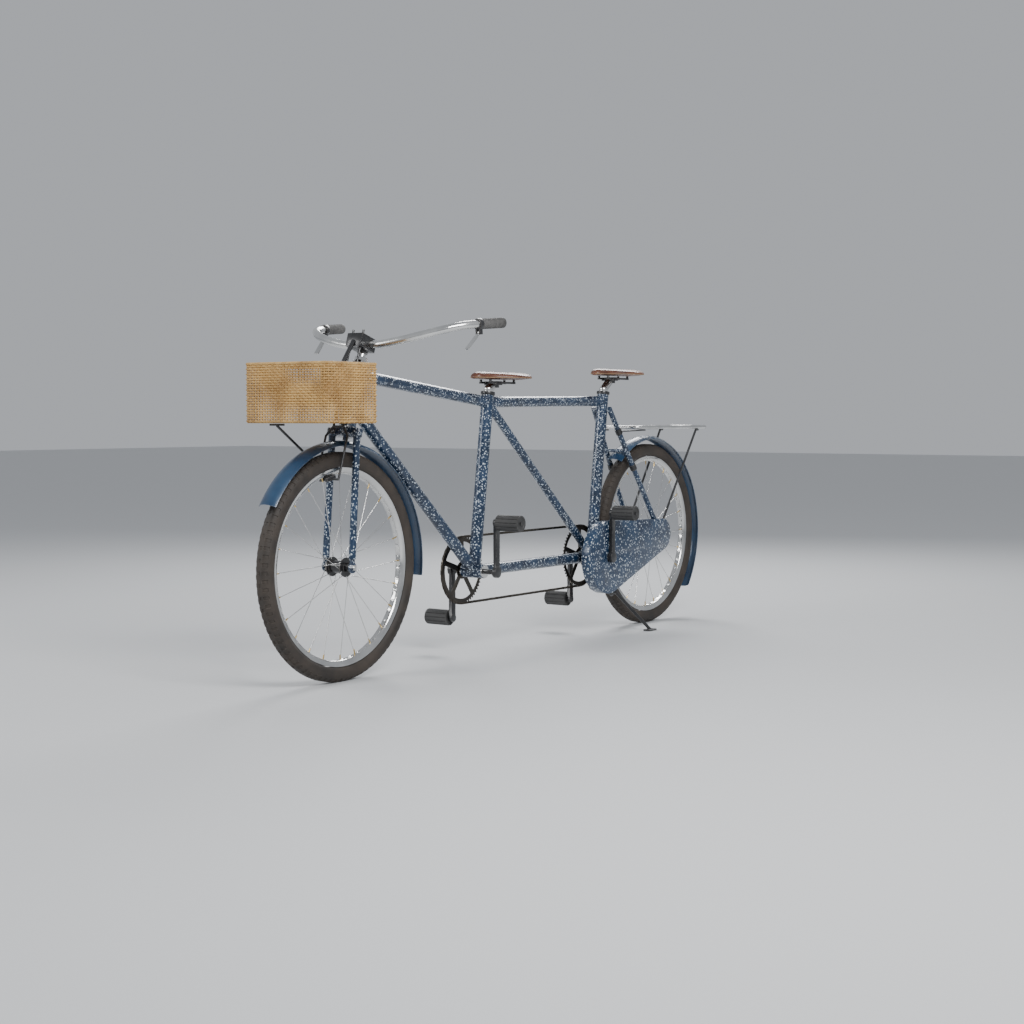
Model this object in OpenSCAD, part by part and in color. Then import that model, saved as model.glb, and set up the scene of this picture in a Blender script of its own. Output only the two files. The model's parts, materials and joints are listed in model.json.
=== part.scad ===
// Tandem bicycle with a front basket, a rear rack and a side stand.
// +X points forwards, +Y to the left, +Z up. The origin is on the ground, under the middle of the bicycle.

/* [Wheels] */
// Outer radius of both tyres
wheel_r = 350; // [300:1:420]
// Width of the tyre section
tyre_w = 54; // [44:1:56]
// Width of the flat tread that meets the ground
tread_w = 18; // [6:1:24]
// Distance between the two wheel centres
wheelbase = 1831; // [1800:1:2200]
// Width of the rims
rim_w = 32; // [26:1:36]
// Radial depth of the rims
rim_h = 19; // [14:1:24]
// Number of spokes in each wheel
spokes = 24; // [20:4:40]
// Diameter of a spoke
spoke_d = 2; // [1.8:0.1:2.6]
// Diameter of the wheel axles
axle_d = 10; // [9:0.5:12]

/* [Frame] */
// Drop of the bottom brackets below the wheel centres
bb_drop = 64; // [40:1:90]
// Distance between the two bottom brackets
bb_gap = 740; // [700:1:800]
// Horizontal distance from the rear tyre to the rear bottom bracket
tyre_to_bb = 46; // [44:1:80]
// Length from the front bottom bracket to its seat joint
front_seat_len = 574; // [480:1:700]
// Length from the rear bottom bracket to its seat joint
rear_seat_len = 584; // [480:1:700]
// Backward lean of the seat tubes
seat_lean = 7.6; // [6:0.1:9]
// Backward lean of the steering axis
head_lean = 18.1; // [14:0.1:22]
// Outer diameter of the head tube
head_d = 52; // [48:1:60]
// Outer diameter of the seat tubes
seat_d = 42; // [38:1:48]
// Outer diameter of the top tubes
top_d = 38; // [30:1:42]
// Outer diameter of the down tube
down_d = 40; // [32:1:44]
// Outer diameter of the boom between the bottom brackets
boom_d = 40; // [32:1:44]
// Outer diameter of the diagonal tube
diag_d = 30; // [24:1:36]
// Outer diameter of the seat stays
seat_stay_d = 20; // [14:1:20]
// Outer diameter of the chain stays
chain_stay_d = 14; // [12:1:15]
// Wall of the frame tubes
tube_wall = 2; // [1.2:0.1:3]
// Diameter of the seat posts
post_d = 30; // [25:0.5:32]

/* [Drive] */
// Length of each crank
crank_len = 166; // [145:1:175]
// Teeth of each timing ring
timing_teeth = 56; // [44:4:56]
// Teeth of the drive ring
drive_teeth = 52; // [40:1:52]
// Teeth of the rear sprocket
sprocket_teeth = 20; // [16:1:22]
// Distance of the timing rings from the middle plane
timing_y = 51.5; // [50.5:0.5:56]
// Distance of the drive ring from the middle plane
drive_y = 50; // [49:0.5:52]
// Diameter of the crank spindles
spindle_d = 17; // [15:0.5:20]
// Diameter of the pedal barrels
pedal_d = 54; // [40:1:60]
// Length of the pedal barrels
pedal_len = 90; // [70:1:110]

/* [Steering] */
// Diameter of the steerer tube
steerer_d = 28.6; // [25.4:0.1:30]
// Diameter of the stem
stem_d = 22; // [20:0.1:22.2]
// Height of the handlebar above the head tube
stem_rise = 64; // [50:1:120]
// Diameter of the handlebar
bar_d = 25.4; // [22:0.1:28]
// Diameter of the grips
grip_d = 33; // [30:1:38]
// Diameter of the fork blades
blade_d = 24; // [20:1:26]
// Distance from the middle plane to each fork blade at the crown
blade_y = 49; // [47:0.5:60]

/* [Basket and rack] */
// Length of the basket
basket_l = 231; // [180:1:280]
// Width of the basket
basket_w = 333; // [280:1:400]
// Height of the basket
basket_h = 181; // [140:1:240]
// Thickness of the basket wall
basket_t = 9; // [6:1:14]
// Length of the rack platform
rack_l = 560; // [420:1:576]
// Width of the rack platform
rack_w = 176; // [150:1:190]
// Thickness of the rack platform
rack_t = 14; // [10:1:18]

/* [Fenders and saddles] */
// Radial gap between the tyres and the fenders
fender_gap = 34; // [28:1:40]
// Width of the fenders
fender_w = 68; // [60:1:69]
// Length of each saddle
saddle_l = 262; // [230:1:290]
// Width of each saddle
saddle_w = 200; // [150:1:220]

/* [Hidden] */
$fn = 64;

// Clearances: running fit of a bearing, seat of a fixed joint, and gap of a loose joint
run = 0.05;
seat = 0.05;
gap = 0.3;

// Fenders, and the wheel centres that follow from them
fender_r = wheel_r + fender_gap;
fender_t = 1.5;
fender_sag = 14;
rear_x = (fender_gap - wheelbase) / 2;
hub_r = [rear_x, 0, wheel_r];
hub_f = [rear_x + wheelbase, 0, wheel_r];
rim_r = wheel_r - tyre_w + 7;
rim_in = rim_r - rim_h;

// Bottom brackets and seat joints
bb_z = wheel_r - bb_drop;
bb_rear = [rear_x + wheel_r + tyre_to_bb, 0, bb_z];
bb_front = bb_rear + [bb_gap, 0, 0];
bb_shell_d = 46;
bb_half = 42;
cup_lip = 3;
seat_u = [-sin(seat_lean), 0, cos(seat_lean)];
seat_f = bb_front + front_seat_len * seat_u;
seat_r = bb_rear + rear_seat_len * seat_u;
seat_lip = 31;

// Steering axis: its foot is the lower end of the head tube
crown_rise = 41;
head_back = 41;
head_foot = hub_f + [-head_back, 0, fender_r + crown_rise];
head_x = [cos(head_lean), 0, sin(head_lean)];
head_u = [-sin(head_lean), 0, cos(head_lean)];
function head_pt(s) = head_foot + s * head_u;
function head_loc(x, y, z) = head_foot + x * head_x + [0, y, 0] + z * head_u;
hub_lx = (hub_f - head_foot) * head_x;
hub_lz = (hub_f - head_foot) * head_u;

// The down tube passes the front fender with this clearance, and meets the head tube where it must
down_gap = 7;
down_dx = hub_f[0] - bb_front[0];
down_a = asin((fender_r + down_d / 2 + down_gap) / norm([down_dx, bb_drop])) + atan2(bb_drop, down_dx);
down_v = [cos(down_a), 0, sin(down_a)];
function cross_y(a, b) = a[0] * b[2] - a[2] * b[0];
down_s = max(down_d, -cross_y(head_foot - bb_front, down_v) / cross_y(head_u, down_v));
top_s = down_s + 94;
head_len = top_s + 37;

// Chain stays and seat stays
stay_y = 65.5;
stay_in_y = 34;
bend_y = 40;
bend_t = 0.31;
drop_in = 63;
drop_t = 5;
drop_reach = 34;
seat_stay_y = 34;
stay_top = bb_rear + (rear_seat_len - 32) * seat_u;
stay_bend = bb_rear + bend_t * (hub_r - bb_rear);
chain_a = atan2(stay_bend[2] - hub_r[2], stay_bend[0] - hub_r[0]);
seat_a = atan2(stay_top[2] - hub_r[2], stay_top[0] - hub_r[0]);
stay_foot = hub_r + (drop_reach + gap) * [cos(seat_a), 0, sin(seat_a)];

// Place on a seat stay at a given distance from the rear hub
stay_d = stay_foot - stay_top;
function stay_t(r) = let (a = stay_d * stay_d, b = 2 * (stay_top - hub_r) * stay_d,
                          c = (stay_top - hub_r) * (stay_top - hub_r) - r * r)
                     (-b - sqrt(b * b - 4 * a * c)) / (2 * a);
function stay_at(t, side) = stay_top + t * stay_d + [0, side * (seat_stay_y + t * (stay_y - seat_stay_y)), 0];

// Drive train
pitch = 12.7;
function ring_r(n) = pitch / (2 * sin(180 / n));
timing_r = ring_r(timing_teeth);
drive_r = ring_r(drive_teeth);
sprocket_r = ring_r(sprocket_teeth);
ring_t = 2.2;
chain_w = 7;
chain_in = 4.2;
chain_out = 5.2;
tooth = 3.2;
arm_y = 86;
arm_t = 14;
pin_d = 10;
pedal_y = arm_y + arm_t + 3;

// Chain case
case_front = drive_r + 30;
case_rear = sprocket_r + 19;
case_y = 44;
case_out = 81;
case_wall = 1.5;

// Side stand: its hinge hangs below the chain case, and its foot stands on the ground
stand_pivot = bb_rear + [-78, 50, -case_front - 1];
stand_foot = [stand_pivot[0] - 94, 155, 0];
stand_down = stand_foot - stand_pivot;
stand_up = [-195, 40, 55];
stand_axis = cross(stand_down, stand_up) / norm(cross(stand_down, stand_up));
stand_d = 12;
stand_pin = 8;

// Handlebar: its middle, and the points of its left half counted from there
bar_c = head_pt(head_len + stem_rise);
bar_half = [[0, 0, 0], [0, 70, 0], [-18, 150, 14], [-52, 228, 34], [-104, 286, 52],
            [-161, 309, 60], [-276, 328, 69]];
grip_from = bar_c + bar_half[5];
grip_to = bar_c + bar_half[6];
grip_start = 20;

// Brake: rods beside the stem, a stirrup round the tyre and two shoes under the rim
rod_x = 38;
rod_y = 20;
rod_d = 7;
leg_y = 43;
shoe_gap = 3;
shoe_h = 8;
shoe_r = rim_in - shoe_gap - shoe_h;
shoe_lz = hub_lz + sqrt(pow(shoe_r, 2) - pow(rod_x - hub_lx, 2));
spread_lz = hub_lz + sqrt(pow(fender_r + 14, 2) - pow(rod_x - hub_lx, 2));

// Brake levers: a pin below the handlebar, and a blade that points forwards and down
lever_x = 26;
lever_z = 11;
lever_a = 40;
lever_len = 76;
lever_pin = 5;

// Basket and rack places
basket_o = [hub_f[0] + 5, -basket_w / 2, head_foot[2] + 10];
rack_z = wheel_r + fender_r + 39;
rack_x = rear_x + wheel_r + fender_gap - 162 - rack_l - 25;
rack_stay_x = rear_x - 257;

// Seat posts: straight in the tube, then laid back to the saddle
post_out = 13;
front_back = [-30, 0, 16];
rear_back = [-46, 0, 34];
post_low = 100;

function unit(v) = v / norm(v);
function arc(c, r, a0, a1, n) = [for (i = [0:n]) c + r * [cos(a0 + (a1 - a0) * i / n), sin(a0 + (a1 - a0) * i / n)]];
function flat(p) = [p[0], p[2]];

// Outline of a belt round two circles
function belt(p, r, q, s, n) =
  let (d = q - p, a = atan2(d[1], d[0]), b = acos((r - s) / norm(d)))
  concat(arc(p, r, a + b, a + 360 - b, n), arc(q, s, a - b, a + b, n));

// Outline of a toothed ring
function teeth(n, r) = [for (i = [0:n - 1]) for (k = [[-0.30, -tooth], [-0.12, tooth], [0.12, tooth], [0.30, -tooth]])
                        (r + k[1]) * [cos(360 * (i + k[0]) / n), sin(360 * (i + k[0]) / n)]];

// Rectangle with round corners
function round_rect(w, d, r) = concat(arc([w - r, d - r], r, 0, 90, 6), arc([r, d - r], r, 90, 180, 6),
                                      arc([r, r], r, 180, 270, 6), arc([w - r, r], r, 270, 360, 6));

module along(p, q) {
  v = q - p;
  translate(p) rotate([0, acos(v[2] / norm(v)), atan2(v[1], v[0])]) children();
}
module rod(p, q, d) {
  along(p, q) cylinder(h = norm(q - p), d = d);
}
module pipe(p, q, d, wall) {
  difference() {
    rod(p, q, d);
    rod(p - unit(q - p), q + unit(q - p), d - 2 * wall);
  }
}
// A rod bent along points. Each corner of its section runs straight until it meets the mitre of the next bend.
bend_sides = 20;
function heading(p, i) = unit(p[i + 1] - p[i]);
function mitre(p, i) = i == len(p) - 1 ? heading(p, i - 1) : unit(heading(p, i - 1) + heading(p, i));
function first_ring(p, r) =
  let (t = heading(p, 0), u = unit(cross(t, [0, 0, 1])), v = cross(u, t))
  [for (k = [0:bend_sides - 1]) p[0] + r * (cos(360 * k / bend_sides) * u + sin(360 * k / bend_sides) * v)];
function bent_ring(p, i, r) =
  i == 0 ? first_ring(p, r) :
  let (t = heading(p, i - 1), m = mitre(p, i))
  [for (q = bent_ring(p, i - 1, r)) q + t * ((p[i] - q) * m) / (t * m)];
module path(points, d) {
  n = bend_sides;
  last = len(points) - 1;
  polyhedron(
    points = [for (i = [0:last]) each bent_ring(points, i, d / 2)],
    faces = concat([[for (k = [n - 1:-1:0]) k]], [[for (k = [0:n - 1]) last * n + k]],
                   [for (i = [0:last - 1]) for (k = [0:n - 1])
                    [i * n + k, i * n + (k + 1) % n, (i + 1) * n + (k + 1) % n, (i + 1) * n + k]]));
}
// A solid across the middle plane: y0 to y1, round the point p
module across(p, y0, y1) {
  translate([p[0], y1, p[2]]) rotate([90, 0, 0]) linear_extrude(y1 - y0) children();
}
module disc(p, y0, y1, d) {
  translate([p[0], y0, p[2]]) rotate([-90, 0, 0]) cylinder(h = y1 - y0, d = d);
}
module both_sides() {
  children();
  mirror([0, 1, 0]) children();
}
module steer(s = 0) {
  translate(head_pt(s)) rotate([0, -head_lean, 0]) children();
}
module tube_ring(h, od, id) {
  difference() {
    cylinder(h = h, d = od);
    translate([0, 0, -1]) cylinder(h = h + 2, d = id);
  }
}

// ---- Frame tubes, each one mitred against those it meets ----
module head_cut() rod(head_pt(-1), head_pt(head_len + 1), head_d);
module bb_cut(p) disc(p, -bb_half, bb_half, bb_shell_d);
module seat_cut(p, top) rod(p, top + (seat_lip + 60) * seat_u, seat_d);

module head_tube() {
  color("midnightblue") steer() tube_ring(head_len, head_d, head_d - 8);
}
module down_tube() {
  color("midnightblue") difference() {
    pipe(bb_front, head_pt(down_s), down_d, tube_wall);
    bb_cut(bb_front);
    head_cut();
    seat_cut(bb_front, seat_f);
  }
}
module top_tubes() {
  color("midnightblue") {
    difference() {
      pipe(seat_f, head_pt(top_s), top_d, tube_wall);
      head_cut();
      seat_cut(bb_front, seat_f);
    }
    difference() {
      pipe(seat_r, seat_f, top_d, tube_wall);
      seat_cut(bb_front, seat_f);
      seat_cut(bb_rear, seat_r);
    }
  }
}
module seat_tube(p, len) {
  sleeve = 110;
  difference() {
    rod(p, p + (len + seat_lip) * seat_u, seat_d);
    rod(p, p + (len + seat_lip - sleeve) * seat_u, seat_d - 2 * tube_wall);
    rod(p, p + (len + seat_lip + 1) * seat_u, post_d + 2 * seat);
    bb_cut(p);
  }
}
module seat_tubes() {
  color("midnightblue") {
    seat_tube(bb_front, front_seat_len);
    seat_tube(bb_rear, rear_seat_len);
  }
}
module diagonal_tube() {
  color("midnightblue") difference() {
    pipe(bb_rear, seat_f, diag_d, tube_wall);
    bb_cut(bb_rear);
    seat_cut(bb_rear, seat_r);
    seat_cut(bb_front, seat_f);
    rod(seat_r, seat_f, top_d);
    rod(seat_f, head_pt(top_s), top_d);
  }
}
module boom_tube() {
  color("midnightblue") difference() {
    pipe(bb_rear, bb_front, boom_d, tube_wall);
    bb_cut(bb_rear);
    bb_cut(bb_front);
    seat_cut(bb_rear, seat_r);
    seat_cut(bb_front, seat_f);
    rod(bb_rear, seat_f, diag_d);
    rod(bb_front, head_pt(down_s), down_d);
  }
}
module bb_shells() {
  color("midnightblue") for (p = [bb_front, bb_rear]) difference() {
    bb_cut(p);
    disc(p, -bb_half - 1, bb_half + 1, bb_shell_d - 8);
  }
}
// Bearing cups: four in the bottom bracket shells and two in the head tube
module bb_cup() {
  inside = 14;
  difference() {
    union() {
      translate([0, 0, -inside]) cylinder(h = inside, d = bb_shell_d - 8 - 2 * seat);
      cylinder(h = cup_lip, d = bb_shell_d - 2);
    }
    translate([0, 0, -inside - 1]) cylinder(h = inside + cup_lip + 2, d = spindle_d + 2 * run);
  }
}
module head_cup() {
  difference() {
    union() {
      translate([0, 0, -12]) cylinder(h = 12, d = head_d - 8 - 2 * seat);
      cylinder(h = 8.6, d1 = head_d + 2, d2 = head_d - 6);
    }
    translate([0, 0, -13]) cylinder(h = 24, d = steerer_d + 2 * run);
  }
}
module bearing_cups() {
  color("gray") {
    for (p = [bb_front, bb_rear]) both_sides()
      translate([p[0], bb_half, p[2]]) rotate([-90, 0, 0]) bb_cup();
    steer(head_len) head_cup();
    steer() mirror([0, 0, 1]) head_cup();
  }
}
module chain_stay() {
  foot = hub_r + (drop_reach + gap) * [cos(chain_a), 0, sin(chain_a)] + [0, stay_y, 0];
  difference() {
    path([bb_rear + [0, stay_in_y, 0], stay_bend + [0, bend_y, 0], foot], chain_stay_d);
    bb_cut(bb_rear);
  }
}
module chain_stays() {
  color("midnightblue") both_sides() chain_stay();
}
module seat_stay() {
  top = stay_top + [0, seat_stay_y, 0];
  difference() {
    path([stay_top, top, stay_foot + [0, stay_y, 0]], seat_stay_d);
    seat_cut(bb_rear, seat_r);
  }
}
module seat_stays() {
  color("midnightblue") both_sides() seat_stay();
}
module rear_dropout() {
  difference() {
    across(hub_r, drop_in, drop_in + drop_t) {
      circle(d = 36);
      for (a = [chain_a, seat_a]) rotate(a) translate([0, -8]) square([drop_reach, 16]);
    }
    disc(hub_r, drop_in - 1, drop_in + drop_t + 1, axle_d + 2 * seat);
  }
}
module rear_dropouts() {
  color("midnightblue") both_sides() rear_dropout();
}

// ---- Saddles ----
module post(p, len, back) {
  base = p + (len + seat_lip) * seat_u;
  knee = base + post_out * seat_u;
  difference() {
    rod(base - post_low * seat_u, knee, post_d);
    rod(base - (post_low + 1) * seat_u, base - 8 * seat_u, post_d - 6);
  }
  rod(knee, knee + back, post_d);
  translate(knee) sphere(d = post_d + 2);
}
module seat_posts() {
  color("silver") {
    post(bb_front, front_seat_len, front_back);
    post(bb_rear, rear_seat_len, rear_back);
  }
}
// Clamp collars: a skirt round the tube's mouth and a lip round the post
module collar(p, len) {
  skirt = 6;
  along(p, p + seat_u) translate([0, 0, len + seat_lip - skirt]) difference() {
    cylinder(h = skirt + 5, d = seat_d + 7);
    translate([0, 0, -1]) cylinder(h = skirt + 1, d = seat_d + 2 * seat);
    cylinder(h = skirt + 6, d = post_d + 2 * seat);
  }
}
module seat_collars() {
  color("dimgray") {
    collar(bb_front, front_seat_len);
    collar(bb_rear, rear_seat_len);
  }
}
function post_top(p, len) = p + (len + seat_lip + post_out) * seat_u;
saddle_gap = 24;
saddle_fwd = -16;
module saddle_at(p, len, back) {
  translate(post_top(p, len) + back + [saddle_fwd, 0, saddle_gap]) children();
}
module saddle() {
  tail = saddle_w / 2;
  difference() {
    hull() {
      translate([-saddle_l / 2 + 76, tail - 66, 0]) scale([76, 66, 22]) sphere(r = 1, $fn = 32);
      translate([-saddle_l / 2 + 76, 66 - tail, 0]) scale([76, 66, 22]) sphere(r = 1, $fn = 32);
      translate([saddle_l / 2 - 34, 0, 0]) scale([34, 26, 20]) sphere(r = 1, $fn = 32);
    }
    translate([-saddle_l, -saddle_w, -40 - 6]) cube([2 * saddle_l, 2 * saddle_w, 40]);
  }
}
module front_saddle() {
  color("saddlebrown") saddle_at(bb_front, front_seat_len, front_back) saddle();
}
module rear_saddle() {
  color("saddlebrown") saddle_at(bb_rear, rear_seat_len, rear_back) saddle();
}
// Two rails under each saddle, and the clamp that holds them on the post
module cradle() {
  rail_z = -17;
  foot_z = -6 - gap;
  for (y = [-20, 20]) {
    for (x = [-78, 60]) translate([x, y, rail_z]) cylinder(h = foot_z - rail_z, d = 9);
    translate([-84, y - 3.5, rail_z - 3.5]) cube([150, 7, 7]);
  }
  translate([-saddle_fwd - 17, -26, rail_z - 8]) cube([34, 52, 13]);
  translate([-saddle_fwd, 0, -saddle_gap - 10]) cylinder(h = 12, d = post_d + 10);
}
module cradle_on(p, len, back) {
  knee = post_top(p, len);
  difference() {
    saddle_at(p, len, back) cradle();
    rod(knee, knee + back, post_d + 2 * seat);
  }
}
module saddle_cradles() {
  color("dimgray") {
    cradle_on(bb_front, front_seat_len, front_back);
    cradle_on(bb_rear, rear_seat_len, rear_back);
  }
}

// ---- Fenders ----
crown_arc = (pow(fender_w / 2, 2) + pow(fender_sag, 2)) / (2 * fender_sag);
crown_half = asin(fender_w / 2 / crown_arc);
module fender(p, from, to) {
  c = [fender_r - crown_arc, 0];
  translate(p) rotate([90, 0, 0]) rotate_extrude(angle = to - from, start = from, $fn = 128)
    polygon(concat(arc(c, crown_arc, -crown_half, crown_half, 10),
                   arc(c, crown_arc - fender_t, crown_half, -crown_half, 10)));
}
module rear_fender() {
  color("steelblue") fender(hub_r, 50.7, 217.4);
}
module front_fender() {
  color("steelblue") fender(hub_f, 32, 188);
}
// Bridge between the seat stays, with the bolt that holds the fender
bridge_d = 14;
module fender_bridge() {
  t = stay_t(fender_r + bridge_d / 2 + 4);
  mid = stay_top + t * stay_d;
  down = unit(hub_r - mid);
  color("midnightblue") difference() {
    union() {
      rod(stay_at(t, -1), stay_at(t, 1), bridge_d);
      rod(mid, mid + (bridge_d / 2 + 4 - 0.5) * down, 9);
    }
    for (side = [-1, 1]) rod(stay_at(t - 0.1, side), stay_at(t + 0.1, side), seat_stay_d + 2 * seat);
    translate(hub_r) rotate([90, 0, 0]) cylinder(h = 60, r = fender_r + gap, center = true, $fn = 128);
  }
}

// ---- Rack ----
rack_bar = 12;
rack_slats = 3;
rack_cross = 5;
module rack_platform() {
  color("silver") translate([rack_x, -rack_w / 2, rack_z - rack_t]) {
    difference() {
      linear_extrude(rack_t) polygon(round_rect(rack_l, rack_w, 30));
      translate([rack_bar, rack_bar, -1]) linear_extrude(rack_t + 2)
        polygon(round_rect(rack_l - 2 * rack_bar, rack_w - 2 * rack_bar, 20));
    }
    for (i = [1:rack_cross]) translate([i * rack_l / (rack_cross + 1) - 6, rack_bar - 1, 0])
      cube([12, rack_w - 2 * rack_bar + 2, rack_t - 6]);
    for (i = [1:rack_slats]) translate([rack_bar - 1, i * rack_w / (rack_slats + 1) - 7, rack_t - 7])
      cube([rack_l - 2 * rack_bar + 2, 14, 7]);
  }
}
// Rear legs from the platform to the dropouts, and front struts to clips on the seat stays
clip_t = 0.16;
leg_d = 9;
eye_r = 25;
function rack_eye(side) = hub_r + [eye_r * cos(seat_a), side * (drop_in + drop_t + 6), eye_r * sin(seat_a)];
module rack_clip(t, side) {
  p = stay_at(t, side);
  q = stay_at(t + 0.04, side);
  difference() {
    rod(p, q, seat_stay_d + 6);
    rod(2 * p - q, 2 * q - p, seat_stay_d + 2 * seat);
  }
}
module rack_stays() {
  strut_x = rack_x + rack_l - 30;
  color("dimgray") for (side = [-1, 1]) {
    foot = rack_eye(side);
    top = [rack_stay_x, side * (rack_w / 2 - rack_bar / 2), rack_z - rack_t - gap - leg_d / 2];
    path([top + [-18, 0, 0], top, foot, foot - [0, side * (6 - gap), 0]], leg_d);
    clip = stay_at(clip_t + 0.02, side) + [0, side * (seat_stay_d / 2 + 4), 0];
    strut = [strut_x, side * (rack_w / 2 - rack_bar / 2), rack_z - rack_t - gap - 3.5];
    difference() {
      path([clip, strut, strut - [24, 0, 0]], 6);
      rod(stay_at(clip_t - 0.05, side), stay_at(clip_t + 0.1, side), seat_stay_d + 6);
    }
    rack_clip(clip_t, side);
    rack_clip(0.46, side);
  }
}

// ---- Chain case, open at its back, with slots where the stays come in ----
module case_outline(r, s) {
  polygon(belt(flat(bb_rear), r, flat(hub_r), s, 40));
}
module chain_case() {
  top = [rack_stay_x, rack_w / 2 - rack_bar / 2, rack_z - rack_t - gap - leg_d / 2];
  color("midnightblue") difference() {
    across([0, 0, 0], case_y, case_out) case_outline(case_front, case_rear);
    across([0, 0, 0], case_y - 1, case_out - case_wall)
      case_outline(case_front - case_wall, case_rear - case_wall);
    disc(bb_rear, case_y, case_out + 1, 34);
    rod(stay_at(0.6, 1), stay_at(1, 1), seat_stay_d + 3);
    rod(stay_at(0.6, 1) - [0, 18, 0], stay_at(1, 1) - [0, 18, 0], seat_stay_d + 3);
    rod(rack_eye(1), top, leg_d + 3);
  }
}
// A ring on the bottom bracket shell with an arm to the case's rim, and a spacer on the dropout
module case_brackets() {
  arm_a = -60;
  rim_at = case_front - case_wall - 2 * gap;
  color("dimgray") {
    difference() {
      union() {
        across(bb_rear, 37, 41) circle(d = bb_shell_d + 14);
        across(bb_rear, 37, 41) rotate(arm_a) translate([0, -9]) square([rim_at, 18]);
        across(bb_rear, 37, case_y + 8) rotate(arm_a) translate([rim_at - 3, -9]) square([3, 18]);
      }
      disc(bb_rear, 30, case_y + 10, bb_shell_d + 2 * seat);
      rod(bb_rear + [0, stay_in_y, 0], stay_bend + [0, bend_y, 0], chain_stay_d + 2 * gap);
    }
    disc(hub_r + [26, 0, -10], drop_in + drop_t + gap, case_out - case_wall - gap, 10);
  }
}

// ---- Axles with their nuts ----
module nut(p, y, h) {
  for (side = [-1, 1]) translate([p[0], side * y, p[2]]) rotate([-90 * side, 0, 0]) cylinder(h = h, d = 19, $fn = 6);
}
module rear_axle() {
  color("silver") {
    disc(hub_r, -77, 77, axle_d);
    nut(hub_r, drop_in + drop_t + gap, 7);
    translate([rear_x, 57, wheel_r]) rotate([-90, 0, 0]) cylinder(h = 6 - gap, d = 20, $fn = 6);
    translate([rear_x, -drop_in + gap, wheel_r]) rotate([-90, 0, 0]) cylinder(h = drop_in - 45 - gap, d = 20, $fn = 6);
  }
}
module front_axle() {
  color("silver") {
    disc(hub_f, -64, 64, axle_d);
    nut(hub_f, 55 + gap, 7);
    nut(hub_f, 44.5, 5.5 - gap);
  }
}

// ---- Side stand ----
module kickstand_bracket() {
  a = stand_axis;
  boss = stand_pivot - 13 * a;
  color("dimgray") difference() {
    union() {
      rod(stand_pivot - 17 * a, stand_pivot - gap * a, 26);
      rod(stand_pivot - a, stand_pivot + 15 * a, stand_pin);
      rod(stand_pivot + (13 + gap) * a, stand_pivot + 17 * a, 15);
      rod(boss, bb_rear + [-10, 16, -10], 15);
    }
    disc(bb_rear, -60, 60, bb_shell_d + 2 * seat);
  }
}
module kickstand() {
  a = stand_axis;
  mid = stand_pivot + 6.5 * a;
  color("dimgray") difference() {
    union() {
      rod(stand_pivot, stand_pivot + 13 * a, 24);
      rod(mid, stand_foot + [0, 0, 5], stand_d);
      translate([stand_foot[0] - 26, stand_foot[1] - 14, 0]) cube([52, 28, 6]);
    }
    rod(stand_pivot - a, stand_pivot + 14 * a, stand_pin + 2 * run);
  }
}

// ---- Chains: each one is a band with a groove that the teeth run in ----
module chain_band(p, r, q, s, y) {
  difference() {
    across([0, 0, 0], y - chain_w / 2, y + chain_w / 2)
      polygon(belt(flat(p), r + chain_out, flat(q), s + chain_out, 60));
    across([0, 0, 0], y - chain_w, y + chain_w)
      polygon(belt(flat(p), r - chain_in, flat(q), s - chain_in, 60));
    across([0, 0, 0], y - 1.6, y + 1.6)
      polygon(belt(flat(p), r + tooth + 0.8, flat(q), s + tooth + 0.8, 60));
  }
}
module timing_chain() {
  color("dimgray") chain_band(bb_front, timing_r, bb_rear, timing_r, -timing_y);
}
module drive_chain() {
  color("dimgray") chain_band(bb_rear, drive_r, hub_r, sprocket_r, drive_y);
}

// ---- Fork and steering ----
crown_top = -9;
crown_t = 22;
crown_foot = crown_top - crown_t + 5;
blade_x = 6;
blade_end = hub_f + [0, 52.5, 26];
blade_top = head_loc(blade_x, blade_y, crown_top - crown_t / 2);
module crown_shape() {
  steer() {
    translate([0, 0, crown_top - crown_t]) cylinder(h = crown_t, d = 46);
    translate([blade_x, 0, crown_top - crown_t / 2]) cube([34, 2 * blade_y, crown_t], center = true);
    for (side = [-1, 1]) translate([blade_x, side * blade_y, crown_top - crown_t])
      cylinder(h = crown_t, d = blade_d + 10);
  }
}
module steerer() {
  color("silver") steer() difference() {
    union() {
      translate([0, 0, crown_foot]) cylinder(h = head_len - crown_foot + 21, d = steerer_d);
      translate([0, 0, head_len + 9]) cylinder(h = 12, d = 40, $fn = 8);
    }
    translate([0, 0, crown_foot - 1]) cylinder(h = head_len + 80, d = stem_d + 2 * seat);
  }
}
// The crown also carries the short post that the fender is bolted to
module fork_crown() {
  color("midnightblue") difference() {
    union() {
      crown_shape();
      rod(head_loc(0, 0, crown_top - 4), head_loc(0, 0, crown_top - crown_t - 12), 12);
    }
    steer() translate([0, 0, crown_foot - seat]) cylinder(h = 60, d = steerer_d + 2 * seat);
    translate(hub_f) rotate([90, 0, 0]) cylinder(h = 60, r = fender_r + gap, center = true, $fn = 128);
  }
}
module fork_blade() {
  difference() {
    union() {
      rod(blade_top, blade_end, blade_d - 2);
      across(hub_f, 50, 55) {
        circle(d = 34);
        translate([-9, 0]) square([18, 30]);
      }
    }
    crown_shape();
    disc(hub_f, 40, 60, axle_d + 2 * seat);
    disc(hub_f, 55, 80, 40);
    disc(hub_f, 30, 50, 40);
  }
}
module fork_blades() {
  color("midnightblue") both_sides() fork_blade();
}
module stem() {
  color("silver") steer() translate([0, 0, head_len - 60]) difference() {
    cylinder(h = 60 + stem_rise - 16, d = stem_d);
    translate([0, 0, -1]) cylinder(h = 60 + stem_rise - 20, d = stem_d - 6);
  }
}
bar_points = concat([for (i = [6:-1:1]) bar_c + [bar_half[i][0], -bar_half[i][1], bar_half[i][2]]],
                    [for (i = [1:6]) bar_c + bar_half[i]]);
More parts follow.
